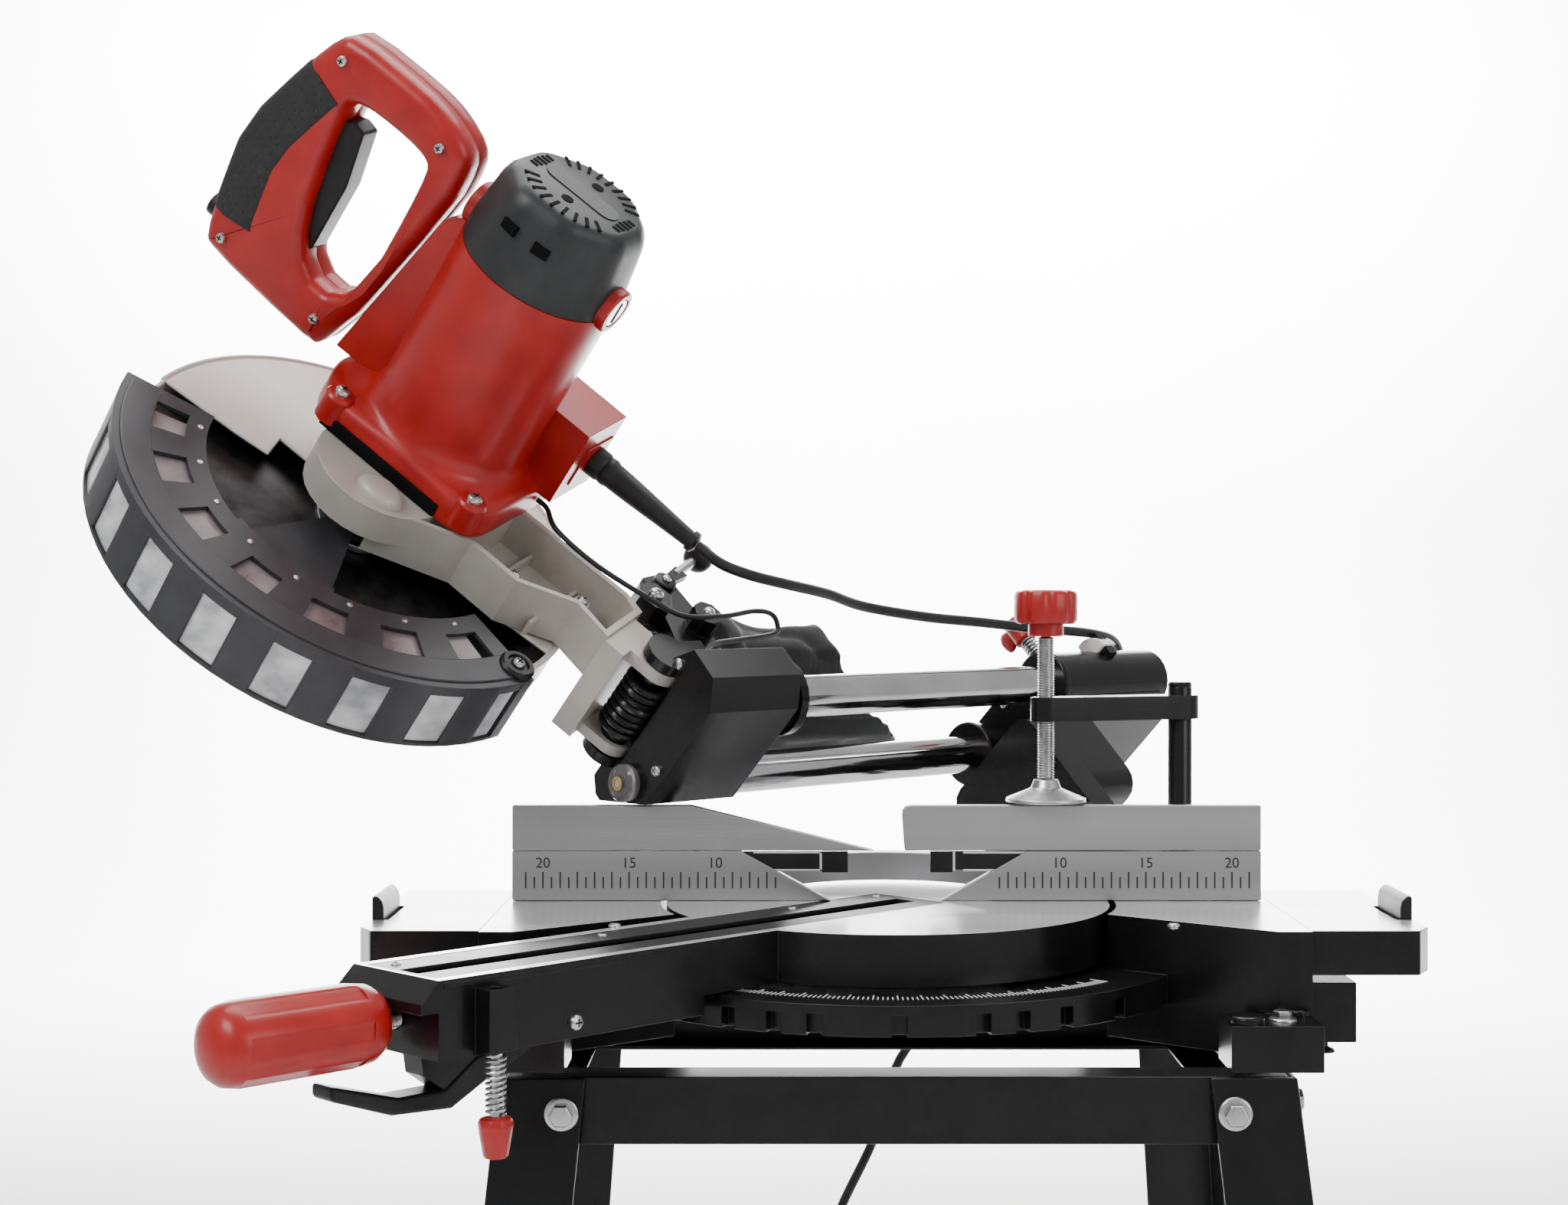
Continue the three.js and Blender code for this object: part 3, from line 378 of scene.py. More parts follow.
def soften(node, bevel, extra=None, pick=None, segments=2):
    """The CAD node's own shape with rounded edges. pick chooses the faces that take the extra material."""
    bm = bmesh.new()
    bm.from_mesh(NODES[node].data)
    bmesh.ops.remove_doubles(bm, verts=bm.verts, dist=1e-5)
    bmesh.ops.dissolve_limit(bm, angle_limit=rad(0.6), verts=bm.verts, edges=bm.edges)
    for f in bm.faces:
        f.material_index = 0
        if pick and pick(f):
            f.material_index = 1
    mesh = bpy.data.meshes.new(node + "_shape")
    bm.to_mesh(mesh)
    bm.free()
    materials = [SLOT[SLOT_OF[node]]] + ([extra] if extra else [])
    return settle(node + "_shape", mesh, materials, BODY_OF[node], (node,), bevel, segments)


def sector(inner, outer, start, end, steps):
    return arc(0, 0, outer, start, end, steps) + arc(0, 0, inner, end, start, steps)


def seen(points):
    """Outline given as forward and up becomes the blade frame's y and z."""
    return [(-f, v) for f, v in points]


# ---------------------------------------------------------------- camera, light and floor
def set_scene():
    """Camera, white surroundings, four soft lamps, and a floor that curves up into the backdrop."""
    data = bpy.data.cameras.new("camera")
    camera = bpy.data.objects.new("camera", data)
    bpy.context.scene.collection.objects.link(camera)
    camera.location = TABLE @ Vector((-48.5, -1330, 184.5))
    camera.rotation_euler = (rad(90), 0, 0)
    data.lens = 52.6
    data.sensor_width = 36
    data.shift_x = -0.0127
    data.shift_y = -0.0122
    data.clip_start = 0.05
    bpy.context.scene.camera = camera

    world = bpy.data.worlds.new("studio")
    bpy.context.scene.world = world
    world.use_nodes = True
    world.node_tree.nodes["Background"].inputs["Color"].default_value = (1, 1, 1, 1)
    world.node_tree.nodes["Background"].inputs["Strength"].default_value = 0.62

    def lamp(name, place, target, size, power):
        light = bpy.data.lights.new(name, "AREA")
        light.shape = "RECTANGLE"
        light.size, light.size_y = size
        light.energy = power
        holder = bpy.data.objects.new(name, light)
        bpy.context.scene.collection.objects.link(holder)
        holder.location = place
        holder.rotation_euler = (Vector(target) - Vector(place)).to_track_quat("-Z", "Y").to_euler()

    lamp("key", (-1.5, -2.0, 2.9), (0, 0, 0.9), (1.6, 1.2), 58)
    lamp("fill", (2.2, -1.8, 1.6), (0, 0, 0.9), (1.4, 1.4), 20)
    lamp("top", (0.1, 0.5, 2.8), (0, 0.1, 0.8), (2.2, 1.4), 52)
    lamp("back", (0.0, 4.2, 2.6), (0, 5.4, 1.2), (5.0, 2.0), 1300)

    floor = Piece("floor", Matrix.Identity(4), FLOOR)
    profile = [(-9, 0), (4.4, 0)] + [(4.4 + 1.2 * math.sin(rad(a)), 1.2 - 1.2 * math.cos(rad(a)))
                                     for a in range(10, 91, 10)] + [(5.6, 7)]
    rings = [[floor.bm.verts.new((x, y, z)) for y, z in profile] for x in (-11, 11)]
    for i in range(len(profile) - 1):
        floor.bm.faces.new((rings[0][i], rings[1][i], rings[1][i + 1], rings[0][i + 1]))
    floor.done(None)


# ---------------------------------------------------------------- cords
MAINS_ROUTE = [
    (-110.9, 13.1, 206.6), (-97, 11, 196), (-79, 22, 189), (-59, 43, 184), (-34, 76, 178), (-11, 108, 170),
    (29, 141, 163), (67, 170, 159), (110, 208, 154), (149, 247, 150), (170, 280, 143), (177, 309, 124),
    (169, 329, 96), (158, 340, 60), (143, 345, 18), (123, 346, -26), (97, 343, -68), (61, 336, -114),
    (21, 326, -159), (2, 320, -215), (-23, 314, -266), (-50, 306, -334), (-76, 293, -430), (-90, 278, -540),
    (-94, 265, -640), (-91, 254, -715), (-86, 243, -756), (-79, 222, -782), (-73, 194, -786.4),
]
LASER_ROUTE = [
    (-205.3, 17.3, 233.8), (-199.4, 15.3, 228.5), (-192, 5, 215), (-168, -1, 194.5), (-138, 4, 175.4),
    (-119, 13, 165.5), (-96, 37, 165), (-79, 62, 167.6), (-69, 74, 166), (-65, 78, 160), (-67, 73, 153.5),
    (-88, 41, 150.6), (-101, 18, 149), (-105, 5, 145), (-102, -0.6, 139.7),
]
CORD_R = 3.3
LEAD_R = 1.6
CORD_NODES = ("mains_cord", "cord_coil")
COIL = Vector((-110, 165, -790))


def step(t, a, b):
    x = min(1, max(0, (t - a) / (b - a)))
    return x * x * (3 - 2 * x)


def coil_route():
    """Three and a half turns in three layers, from the floor at the right side to the plug at the left."""
    points = []
    steps = 49
    for i in range(steps + 1):
        t = 3.5 * i / steps
        r = 40.35 - 6.75 * step(t, 0.62, 0.97) + 6.75 * step(t, 2.08, 2.38)
        z = 3.7 + 6.7 * step(t, 1.42, 1.7) + 6.7 * step(t, 2.8, 3.08)
        a = -2 * math.pi * t
        points.append(COIL + Vector((r * math.cos(a), r * math.sin(a), z)))
    points += [(-150.0, 176, -773.2), (-149.2, 186, -776.0), (-148.2, 194, -779.0), (-147.4, 201, -779.8)]
    return points


def smooth_path(points, per=6):
    """Points of a uniform Catmull-Rom curve through all of them."""
    p = [Vector(q) for q in points]
    p = [2 * p[0] - p[1]] + p + [2 * p[-1] - p[-2]]
    out = []
    for i in range(1, len(p) - 2):
        a, b, c, d = p[i - 1:i + 3]
        for k in range(per):
            t = k / per
            out.append(0.5 * (2 * b + (c - a) * t + (2 * a - 5 * b + 4 * c - d) * t ** 2
                              + (3 * b - a - 3 * c + d) * t ** 3))
    return out + [p[-2]]


def cord_piece(name, path, r, nodes):
    piece = Piece(name, TABLE, RUBBER)
    piece.pipe(path, r, 14)
    made = piece.done(None, nodes)
    return made


def make_cords():
    whole = smooth_path(MAINS_ROUTE + coil_route())
    per = 6
    cuts = [0, 5 * per, 10 * per, 14 * per]
    parts = [whole[a:b + 1] for a, b in zip(cuts, cuts[1:])] + [whole[cuts[-1]:]]
    joints = [("head", "slide", 0, 3 * per), ("slide", "tilt", 5 * per, 10 * per),
              ("tilt", "turn", 10 * per, 14 * per), ("turn", "base", 14 * per, 19 * per)]
    plug = make_plug()
    tie = make_tie()
    names = ["mains_cord_head", "mains_cord_rails", "mains_cord_housing", "mains_cord_floor"]
    for i, (name, path, (a, b, start, end)) in enumerate(zip(names, parts, joints)):
        last = i == 3
        made = cord_piece(name, path, CORD_R,
                          CORD_NODES if last else CORD_NODES[:1])
        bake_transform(made)
    path = smooth_path(LASER_ROUTE)
    lead = cord_piece("laser_lead", path, LEAD_R,
                      ("laser_cable",))
    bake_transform(lead)


def make_plug():
    at = TABLE @ Matrix.Translation((-147, 195, -779.7))
    plug = Piece("plug_body", at, RUBBER, STEEL)
    loops = []
    for y, w, h in ((0, 5, 5), (3, 5.6, 5.6), (21, 6.6, 6.6), (26, 10, 8), (32, 16.5, 9.6), (38, 18, 9.9),
                    (49, 18, 9.9), (52, 16.6, 8.6)):
        loops.append([(w * c, y, h * s) for c, s in (bulge(a, 0.7) for a in around(36))])
    plug.loft(loops)
    for y in (5, 9, 13, 17):
        plug.lathe([(4, -1), (6.9, -0.7), (6.9, 0.7), (4, 1)], (0, y, 0), (0, 1, 0), 24)
    for x in (-9.5, 9.5):
        plug.lathe([(2.3, 0), (2.3, 17.5), (1.6, 18.9), (0.2, 19)], (x, 51, 0), (0, 1, 0), 18, 1)
    return plug.done("base", ("plug",))


def make_tie():
    tie = Piece("cord_tie", TABLE, PLASTIC)
    angle = rad(80)
    centre = Vector((COIL.x + 37 * math.cos(angle), COIL.y + 37 * math.sin(angle), COIL.z + 10.2))
    out = Vector((math.cos(angle), math.sin(angle), 0))
    along = Vector((-math.sin(angle), math.cos(angle), 0))
    loops = []
    for k in (-3.5, 3.5):
        for grow in (0.1, 0.9):
            loops.append([centre + along * k + out * ((6.9 + grow) * c) + Vector((0, 0, (9.2 + grow) * s))
                          for c, s in (bulge(a, 0.6) for a in around(32))])
    tie.loft([loops[0], loops[1], loops[3], loops[2]], closed=True)
    return tie.done("base")


# ---------------------------------------------------------------- stand
def make_stand():
    for name in [n for n in NODES if n.startswith(("leg_", "stand_"))]:
        soften(name, 0.9)
    for name in [n for n in NODES if n.startswith("foot_")]:
        soften(name, 3.0, segments=3)
    bolts = Piece("stand_bolts", TABLE, STEEL)
    for x in (-173, 173):
        bolts.bolt((x, -154.0, -88), AHEAD, 9)
        bolts.bolt((x, 126.0, -88), (0, 1, 0), 9)
    for side in (-1, 1):
        for y in (-122, 94):
            bolts.bolt((side * 208.0, y, -88), (side, 0, 0), 9)
        for y in (-228, 200):
            bolts.bolt((side * 248.6, y, -560), (side, 0, 0), 8)
    bolts.done("base", bevel=0.3, segments=1)


# ---------------------------------------------------------------- base, fences, wings and clamp
def machined(f):
    return f.normal.z > 0.98 and abs(f.calc_center_median().z - CENTRE.z) < 0.0006


def wing_top(f):
    return f.normal.z > 0.98 and f.calc_center_median().z > CENTRE.z - 0.001


def make_base():
    soften("base_casting", 1.3, TOP, machined)
    marks = Piece("mitre_scale", TABLE, WHITE)
    for degree in range(-50, 51):
        reach = 11 if degree % 5 == 0 else 6.5
        a = rad(degree)
        turn = Matrix.Rotation(a, 3, "Z")
        corners = [(-0.28, -150), (0.28, -150), (0.28, -150 + reach), (-0.28, -150 + reach)]
        marks.loft([[turn @ Vector((x, y, z)) for x, y in corners] for z in (-30.3, -29.8)])
    marks.done("base")
    details = Piece("base_details", TABLE, BLACK, STEEL, RECESS_SHADE)
    details.bolt((202, -131, -44.2), UP, 7.5, 1)
    details.lathe([(9, -1), (9, 3), (7.6, 4.2), (0.3, 4.2)], (182, -139, -44), UP, 24)
    details.lathe([(6, -1), (6, 2.5), (5, 3.4), (0.3, 3.4)], (213, -118, -44), UP, 24)
    details.lathe([(2.5, 3), (2.5, -6), (5.5, -7), (6.5, -9), (0.3, -9.2)], (234, -84, -61), UP, 20)
    for x in (-150, 150):
        details.screw((x, -100, -0.3), UP, 3.4, 1, 2)
    details.done("base", bevel=0.35, segments=1)
    for side in ("left", "right"):
        soften(f"wing_{side}", 1.6, TOP, wing_top)
        soften(f"flip_stop_{side}", 1.2, segments=3)


def label(name, text, size, place, body):
    curve = bpy.data.curves.new(name, "FONT")
    curve.body = text
    curve.size = size / 1000
    curve.align_x = "CENTER"
    curve.extrude = 0.00012
    holder = bpy.data.objects.new(name + "_text", curve)
    bpy.context.scene.collection.objects.link(holder)
    bpy.context.view_layer.update()
    mesh = bpy.data.meshes.new_from_object(holder.evaluated_get(bpy.context.evaluated_depsgraph_get()))
    bpy.data.objects.remove(holder)
    mesh.transform(Matrix.Translation(place) @ Matrix.Rotation(rad(90), 4, "X"))
    mesh.materials.clear()
    settle(name, mesh, [INK], body)


def make_fences():
    soften("fixed_fence", 0.7)
    soften("upper_fence_left", 0.9)
    soften("upper_fence_right", 0.9)
    ticks = Piece("fence_ticks", TABLE, INK)
    for x in [*range(-210, -64, 5), *range(65, 211, 5)]:
        top = 17.0 if x % 10 == 0 else 14.0
        ticks.box((x - 0.45, -0.12, 7.5), (x + 0.45, 0.3, top))
    ticks.done("base")
    for x in (-200, -150, -100, 100, 150, 200):
        label(f"fence_number_{'left' if x < 0 else 'right'}_{abs(x)}", str(abs(x) // 10), 8.6,
              TABLE @ Vector((x, -0.05, 19.4)), "base")
    guides = Piece("fence_guides", TABLE, PLASTIC, TOP)
    for x0, x1, solid0, solid1 in ((-84, -38, -38, -23), (38, 84, 25, 38)):
        guides.box((x0, 2, 18), (x1, 6.5, 28.6), 0)
        guides.box((solid0, 1.5, 16.5), (solid1, 7, 28.6), 0)
        for z0, z1 in ((17.2, 18.4), (27.4, 28.7)):
            guides.box((x0 + 6, 1.6, z0), (x1, 2.2, z1), 1)
        guides.box((x1 - 1.4 if x0 < 0 else x0, 1.6, 17.2), (x1 if x0 < 0 else x0 + 1.4, 2.2, 28.7), 1)
    guides.done("base", bevel=0.2, segments=1)
    screws = Piece("fence_screws", TABLE, STEEL, RECESS_SHADE)
    for x in (-205, -90, 90, 205):
        screws.screw((x, 20, 8), UP, 4.2)
    screws.done("base")


def thread(piece, r, start, end, pitch, at, along, slot=0):
    profile = [(0.2, start)]
    h = start
    while h + pitch <= end:
        profile += [(r * 0.86, h + 0.001), (r, h + pitch * 0.45), (r * 0.86, h + pitch * 0.9)]
        h += pitch
    profile.append((0.2, end))
    piece.lathe(profile, at, along, 24, slot)


def make_clamp():
    soften("clamp_pad", 0.5)
    soften("clamp_arm", 2.6, segments=3)
    post = Piece("clamp_column", TABLE, BLACK)
    post.lathe([(0.3, -37.8), (6.2, -37.8), (7, -37), (7, 122), (6.8, 122.6), (7, 123.2), (7, 124.8),
                (6.2, 125.8), (0.3, 125.9)], (176, 38, 0), UP, 32)
    post.done("clamp_post", ("clamp_post",))
    knob = Piece("clamp_knob", TABLE, RED, STEEL)
    screw = (93, 10, 0)
    flutes = lambda a: 1 - 0.075 * max(0, math.cos(8 * a)) ** 1.5
    knob.lathe([(0.3, 160.8), (15.6, 160.8), (17.6, 161.6), (18.5, 163.6), (18.5, 177.4), (17.6, 179.6),
                (15.4, 180.6), (12.4, 180.7), (11.6, 180.0), (0.3, 180.0)], screw, steps=96, ripple=flutes)
    knob.lathe([(0.3, 153.6), (9.6, 153.6), (10.3, 154.4), (10.3, 161.5), (0.3, 161.5)], screw, steps=40)
    thread(knob, 5, 70.6, 154, 1.5, screw, UP, 1)
    knob.done("clamp_screw", ("clamp_screw",))


# ---------------------------------------------------------------- mitre table
def make_turntable():
    soften("turntable", 1.2, TOP, machined)
    soften("kerf_insert", 0.4)
    soften("detent_lever", 2.2, segments=3)
    soften("bevel_lock_lever", 2.0, segments=3)
    pin = Piece("pull_knob", TURN, RED, STEEL, SPRING)
    place = (40, -314, 0)
    ribs = lambda a: 1 - 0.05 * max(0, math.cos(10 * a))
    pin.lathe([(0.3, -86), (5.2, -86), (6, -85.2), (7.6, -76), (8.4, -71), (8.4, -69.2), (7.6, -67.6),
               (3.2, -66.4), (0.3, -66.4)], place, steps=36, ripple=ribs)
    pin.lathe([(0.3, -67), (2.9, -67), (2.9, -18), (0.3, -18)], place, steps=20, slot=1)
    pin.helix(4.4, 0.75, -66, -37, 11, place, UP, 1)
    pin.done("pull_pin", ("pull_pin",))
    facets = lambda a: 1 - 0.045 * max(0, math.cos(6 * a)) ** 0.6
    grip = Piece("mitre_grip", TURN, RED, STEEL)
    root = (0, -347, -22)
    grip.lathe([(0.3, 5), (11, 5.6), (15.5, 8.4), (18.6, 13.5), (19.4, 20)], root, AHEAD, 96)
    grip.lathe([(0.3, 20), (19.4, 20), (19.9, 23), (19.9, 82), (19.4, 85)], root, AHEAD, 96, 0, facets)
    grip.lathe([(0.3, 85), (19.4, 85), (18.4, 90), (15.4, 94), (10, 96.8), (5, 97.7), (0.3, 98)], root,
               AHEAD, 96)
    thread(grip, 4.8, -36, 7, 1.6, root, AHEAD, 1)
    grip.done("mitre_lock_handle", ("mitre_lock_handle",))
    details = Piece("arm_details", TURN, BLACK, STEEL, RECESS_SHADE)
    for y in (-318, -262):
        details.screw((35.2, y, -30), OUT, 4, 1, 2)
    for y in (-330, -200, -60, 10):
        details.screw((-18, y, -0.9), UP, 2.6, 1, 2)
    details.box((31, -340, -4.2), (35.4, -206, -1.6), 0)
    hook = [(-334, -37), (-262, -37), (-268, -46), (-290, -56), (-318, -60), (-332, -50)]
    details.prism(hook, -7.6, 7.6, "x")
    details.done("turn", bevel=0.6)


# ---------------------------------------------------------------- tilt housing and rails
def make_tilt():
    soften("tilt_housing", 2.0, segments=3)
    details = Piece("housing_details", TILT, BLACK, STEEL, RECESS_SHADE, WHITE)
    for x, z in ((2, 104), (2, 142), (-20, 104)):
        details.screw((x, 223.6, z), AHEAD, 3.0, 1, 2)
    for x in (-36, 36):
        details.screw((x, 170.6, 60), AHEAD, 4.2, 1, 2)
    details.prism(arc(49, 138.5, 14.5, 0, 100, 10) + [(44, 138.5)], 273, 287, "y", 3)
    for x, z in ((37, 128.5), (-35, 131.5)):
        ring = [(13.1, -1.4), (20.6, -1.4), (21.8, -0.4), (21.8, 3), (20.8, 4)]
        details.lathe([*ring, (13.1, 4)], (x, 222 if x > 0 else 208, z), (0, 1, 0), 48)
    details.done("tilt", bevel=0.4, segments=1)
    knob = Piece("rail_wing_knob", TILT, RED, STEEL)
    stem = (37, 240, 0)
    knob.lathe([(0.3, 168), (6.6, 168), (7.9, 169.4), (7.9, 184.6), (6.6, 186.4), (0.3, 187)], stem)
    for side in (-1, 1):
        loops = []
        for x, h in ((5, 5.5), (9, 6.6), (13, 7.8), (16, 7.0), (17, 4.5)):
            thick = 3.3 if x < 16 else 1.98
            loops.append([(37 + side * x, 240 + thick * math.cos(a), 179 + h * math.sin(a))
                          for a in around(24)])
        knob.loft(loops)
    knob.lathe([(0.3, 147), (3.9, 147), (3.9, 169), (0.3, 169)], stem, steps=24, slot=1)
    knob.helix(5.3, 0.7, 155, 168, 5, stem, UP, 1)
    knob.done("rail_lock_knob", ("rail_lock_knob",))


def make_rail(node):
    inside = TILT.inverted()
    corners = [inside @ v.co for v in NODES[node].data.vertices]
    ends = [min(c.y for c in corners), max(c.y for c in corners)]
    x, z = [(min(c[i] for c in corners) + max(c[i] for c in corners)) / 2 for i in (0, 2)]
    r = (max(c.x for c in corners) - min(c.x for c in corners)) / 2
    rail = Piece(node + "_tube", TILT, CHROME, RECESS_SHADE)
    rail.lathe([(r - 2, ends[0] + 0.6), (r - 0.8, ends[0]), (r, ends[0] + 0.8), (r, ends[1] - 0.8),
                (r - 0.8, ends[1]), (r - 2, ends[1] - 0.6)], (x, 0, z), (0, 1, 0), 72)
    rail.done("slide", (node,))


def make_slide():
    for node in ("rail_right", "rail_left"):
        make_rail(node)
    soften("front_casting", 1.8, segments=3)
    details = Piece("casting_details", TILT, BLACK, STEEL, RECESS_SHADE)
    details.screw((-4, -105.1, 113), AHEAD, 3.6, 1, 2)
    details.screw((53, -105.1, 143), AHEAD, 3.6, 1, 2)
    details.lathe([(0.5, -1), (6.2, -1), (6.2, 3.4), (5.2, 4.2), (3, 4.2), (3, 2.2), (0.5, 2.2)],
                  (37, -41, 147.2), steps=6)
    for s, q, p, r in ((81, 204, 47, 4.6), (47, 190, 46, 3.6), (57, 223, 41, 3)):
        details.screw((p, -s, q), OUT, r, 1, 2)
    for x, z in ((37, 128.5), (-35, 131.5)):
        details.lathe([(0.4, 1.0), (10, 1.0), (11.6, 0.4), (11.6, -1.5), (0.4, -1.5)], (x, -92, z), AHEAD)
    for p in (25.5, 30.5):
        details.pipe([(p, -47, 158), (p, -52, 185)], 1.6, 10)
    details.done("slide", bevel=0.3, segments=1)
    spring = Piece("chop_spring", TILT, SPRING)
    spring.helix(12.4, 2.35, -12.4, 30.4, 8.6, (0, -104, 154), OUT, 0, 28)
    spring.done("slide", ("torsion_spring",))
    lens = Piece("laser_window", TILT, SMOKE)
    lens.lathe([(0.4, -1.6), (9.8, -1.6), (11, -0.4), (11, 5), (0.4, 5)], (-28, -110.4, 125), (0, 1, 0), 48)
    lens.done("slide", ("laser_module",), smooth=40)
    core = Piece("laser_core", TILT, BRASS, STEEL)
    front = (-28, -112.2, 125)
    core.lathe([(0.4, 0), (4.2, 0), (4.2, 1.2), (2.9, 1.2), (2.9, 0.5), (0.4, 0.5)], front, AHEAD)
    core.lathe([(0.4, 0), (2.4, 0), (2.4, 0.9), (0.4, 0.9)], front, AHEAD, 6, 1)
    core.done("slide")
    lever = Piece("stop_lever", TILT, PLASTIC, STEEL)
    lever.lathe([(0.3, 34.3), (7, 34.3), (7, 40.4), (6, 41), (0.3, 41)], (0, -57, 223), OUT, 28)
    lever.prism([(-60, 219), (-56, 227), (-41, 236), (-36, 228)], 35, 40, "x")
    lever.pipe([(37.5, -44, 230.6), (37.5, -20, 243)], 3.1, 20, 1)
    ball = [(0.3, -9.45), *arc(0, 0, 9.5, -80, 80, 20), (0.3, 9.45)]
    lever.lathe(ball, (37.5, -14, 246), (0, 0.9, 0.45), 40)
    lever.done("depth_stop_lever", ("depth_stop_lever",), smooth=40)


# ---------------------------------------------------------------- head
def make_head():
    soften("head_casting", 1.3, segments=3)
    details = Piece("arm_fittings", BLADE, GREY, STEEL, RECESS_SHADE)
    for f, v in ((-92, 20), (-128, 44)):
        details.lathe([(0.5, 17), (5.6, 17), (5, 34), (0.5, 34)], (0, -f, v), OUT, 24)
        details.screw((34, -f, v), OUT, 3.6, 1, 2)
    for f in (-84, -118):
        details.box((17, -f - 1.2, 5), (27, -f + 1.2, 60), 0)
    details.prism(arc(0, 0, 40.2, 180, 360, 40) + [(40.2, 4), (-40.2, 4)], 40.5, 46.2, "x")
    boss = [(1, 0), (1, 3.5), (0.93, 6), (0.8, 7.6), (0.6, 8.6), (0.03, 9)]
    details.loft([[(44 + h, 12 + 15 * r * math.cos(a), -22 + 11 * r * math.sin(a))
                   for a in around(40)] for r, h in boss])
    details.done("head", bevel=0.5)
    make_upper_guard()
    soften("trigger", 1.6, segments=3)
    for node, bevel in (("lock_off_button", 1.0), ("armature", 0.5), ("arbor", 0.6), ("drive_gear", 0.25)):
        soften(node, bevel)
    make_motor()
    make_handle()
    relief = Piece("cord_boot", BLADE, RUBBER)
    relief.lathe([(0.4, 75.5), (8.6, 75.5), (9.4, 76.6), (9.4, 83), (8.4, 85), (8.9, 86.4), (8.9, 89),
                  (8.1, 91), (7.9, 100), (7.3, 112), (6.5, 126), (5.6, 142), (5.2, 150.4), (6.6, 151),
                  (6.6, 154.4), (5.4, 155), (3.5, 156), (0.4, 156)], (84, 0, 92), (0, 1, 0), 40)
    relief.done("head", ("strain_relief",))


def make_upper_guard():
    """Shallow round shell, open below, its near wall cut away under the gear case, and the dust chute."""
    # The shell takes the lighter guard colour, whose extra lightness over the grey casting is painted light.
    shell = Piece("upper_guard_shell", BLADE, PAINTED_LIT_GREY)
    ring = sector(134.4, 137, -28, 200, 64)
    far = arc(0, 0, 135, -28, 200, 60)
    near = arc(0, 0, 135, -10, 174, 60) + [(-100, 10), (-30, 8), (67, 6), (61, -13), (84, -17.5)]
    shell.prism(seen(ring), -16, 12, "x")
    shell.prism(seen(far), -15.9, -13.5, "x")
    shell.prism(seen(near), 9.6, 12.1, "x")
    shell.prism(seen(sector(135.5, 138.2, -10, 196, 60)), 9.2, 12.8, "x")
    shell.loft([[(p, -f, v) for p, v in ((-12, 60), (8, 60), (8, 95), (-12, 95))] for f in (-104, -165)])
    shell.done("head", ("upper_guard",), bevel=1.1)
    # Near-black slab across the chute end: painted shade for the inside of the chute.
    mouth = Piece("chute_mouth_painted_shade", BLADE, RECESS_SHADE)
    mouth.loft([[(p, -f, v) for p, v in ((-9, 63), (5, 63), (5, 92), (-9, 92))] for f in (-164, -165.3)])
    mouth.done("head")


def make_motor():
    motor = Piece("motor_shell", BLADE, RED)
    loops = []
    flare = ((46.4, 1), (47.6, 1.012), (62, 1.0), (64.5, 0.93), (66.5, 0.6), (68.5, 0.25), (72, 0.1),
             (78, 0.03), (84, 0), (140, 0), (185.8, 0))
    for p, w in flare:
        loop = []
        for a in around(96):
            c, s = math.cos(a), math.sin(a)
            tx = abs(c) / (62 if c > 0 else 73)
            ts = abs(s) / (55.5 if s > 0 else 53.5)
            r_collar = (tx ** 7 + ts ** 7) ** (-1 / 7)
            r = 48 + (min(r_collar, 74) - 48) * w
            loop.append((p, -MOTOR_F + c * r, MOTOR_V + s * r))
        loops.append(loop)
    motor.loft(loops)
    motor.done("head", ("motor_housing",), smooth=50)
    blocks = Piece("motor_bosses", BLADE, RED, STEEL, RECESS_SHADE)
    blocks.prism([(30, 62), (75, 62), (75, 108), (30, 108)], 60, 112, "x")
    blocks.prism([(66, 74), (76, 74), (76, 104), (66, 104)], 70, 98, "x")
    blocks.prism([(66, -38), (66, -77), (176, -55), (184, -46), (184, -38)], 37, 59, "z")
    corners = ((-56, 0), (58, 2), (-56, 94), (58, 92))
    for across, v in corners:
        y = -MOTOR_F + across * 0.86
        blocks.lathe([(0.5, 50), (9.5, 50), (9.0, 66), (7.6, 68), (0.5, 68)], (0, y, v), OUT, 28)
        blocks.screw((68.2, y, v), OUT, 4.6, 1, 2)
    brush = (193, -MOTOR_F, MOTOR_V)
    for side in (-1, 1):
        blocks.lathe([(4, 38), (13.5, 38), (13.5, 50.6), (12.6, 51.6), (9.4, 51.6), (9.2, 50.4),
                      (0.4, 50.4)], brush, (0, side, 0), 36)
        blocks.lathe([(0.4, 50.2), (8.8, 50.2), (8.8, 51.2), (0.4, 51.2)], brush, (0, side, 0), 32, 1)
        y = -MOTOR_F + side * 51.3
        # Near-black bar across each brush cap: painted shade for its screwdriver slot.
        blocks.box((186, y - 0.4, 47.2), (200, y + 0.4, 48.8), 2)
    blocks.done("head", bevel=1.4, segments=3)
    # Near-black slab through the underside of the collar: painted shade for the vent slot.
    vent = Piece("collar_vent_painted_shade", BLADE, RECESS_SHADE)
    slot = ((40, -7.0), (-46, -7.0), (-46, -4.4), (40, -4.4))
    vent.prism(slot, 46.6, 55, "x")
    vent.done("head", bevel=0.8)
    make_end_cap()


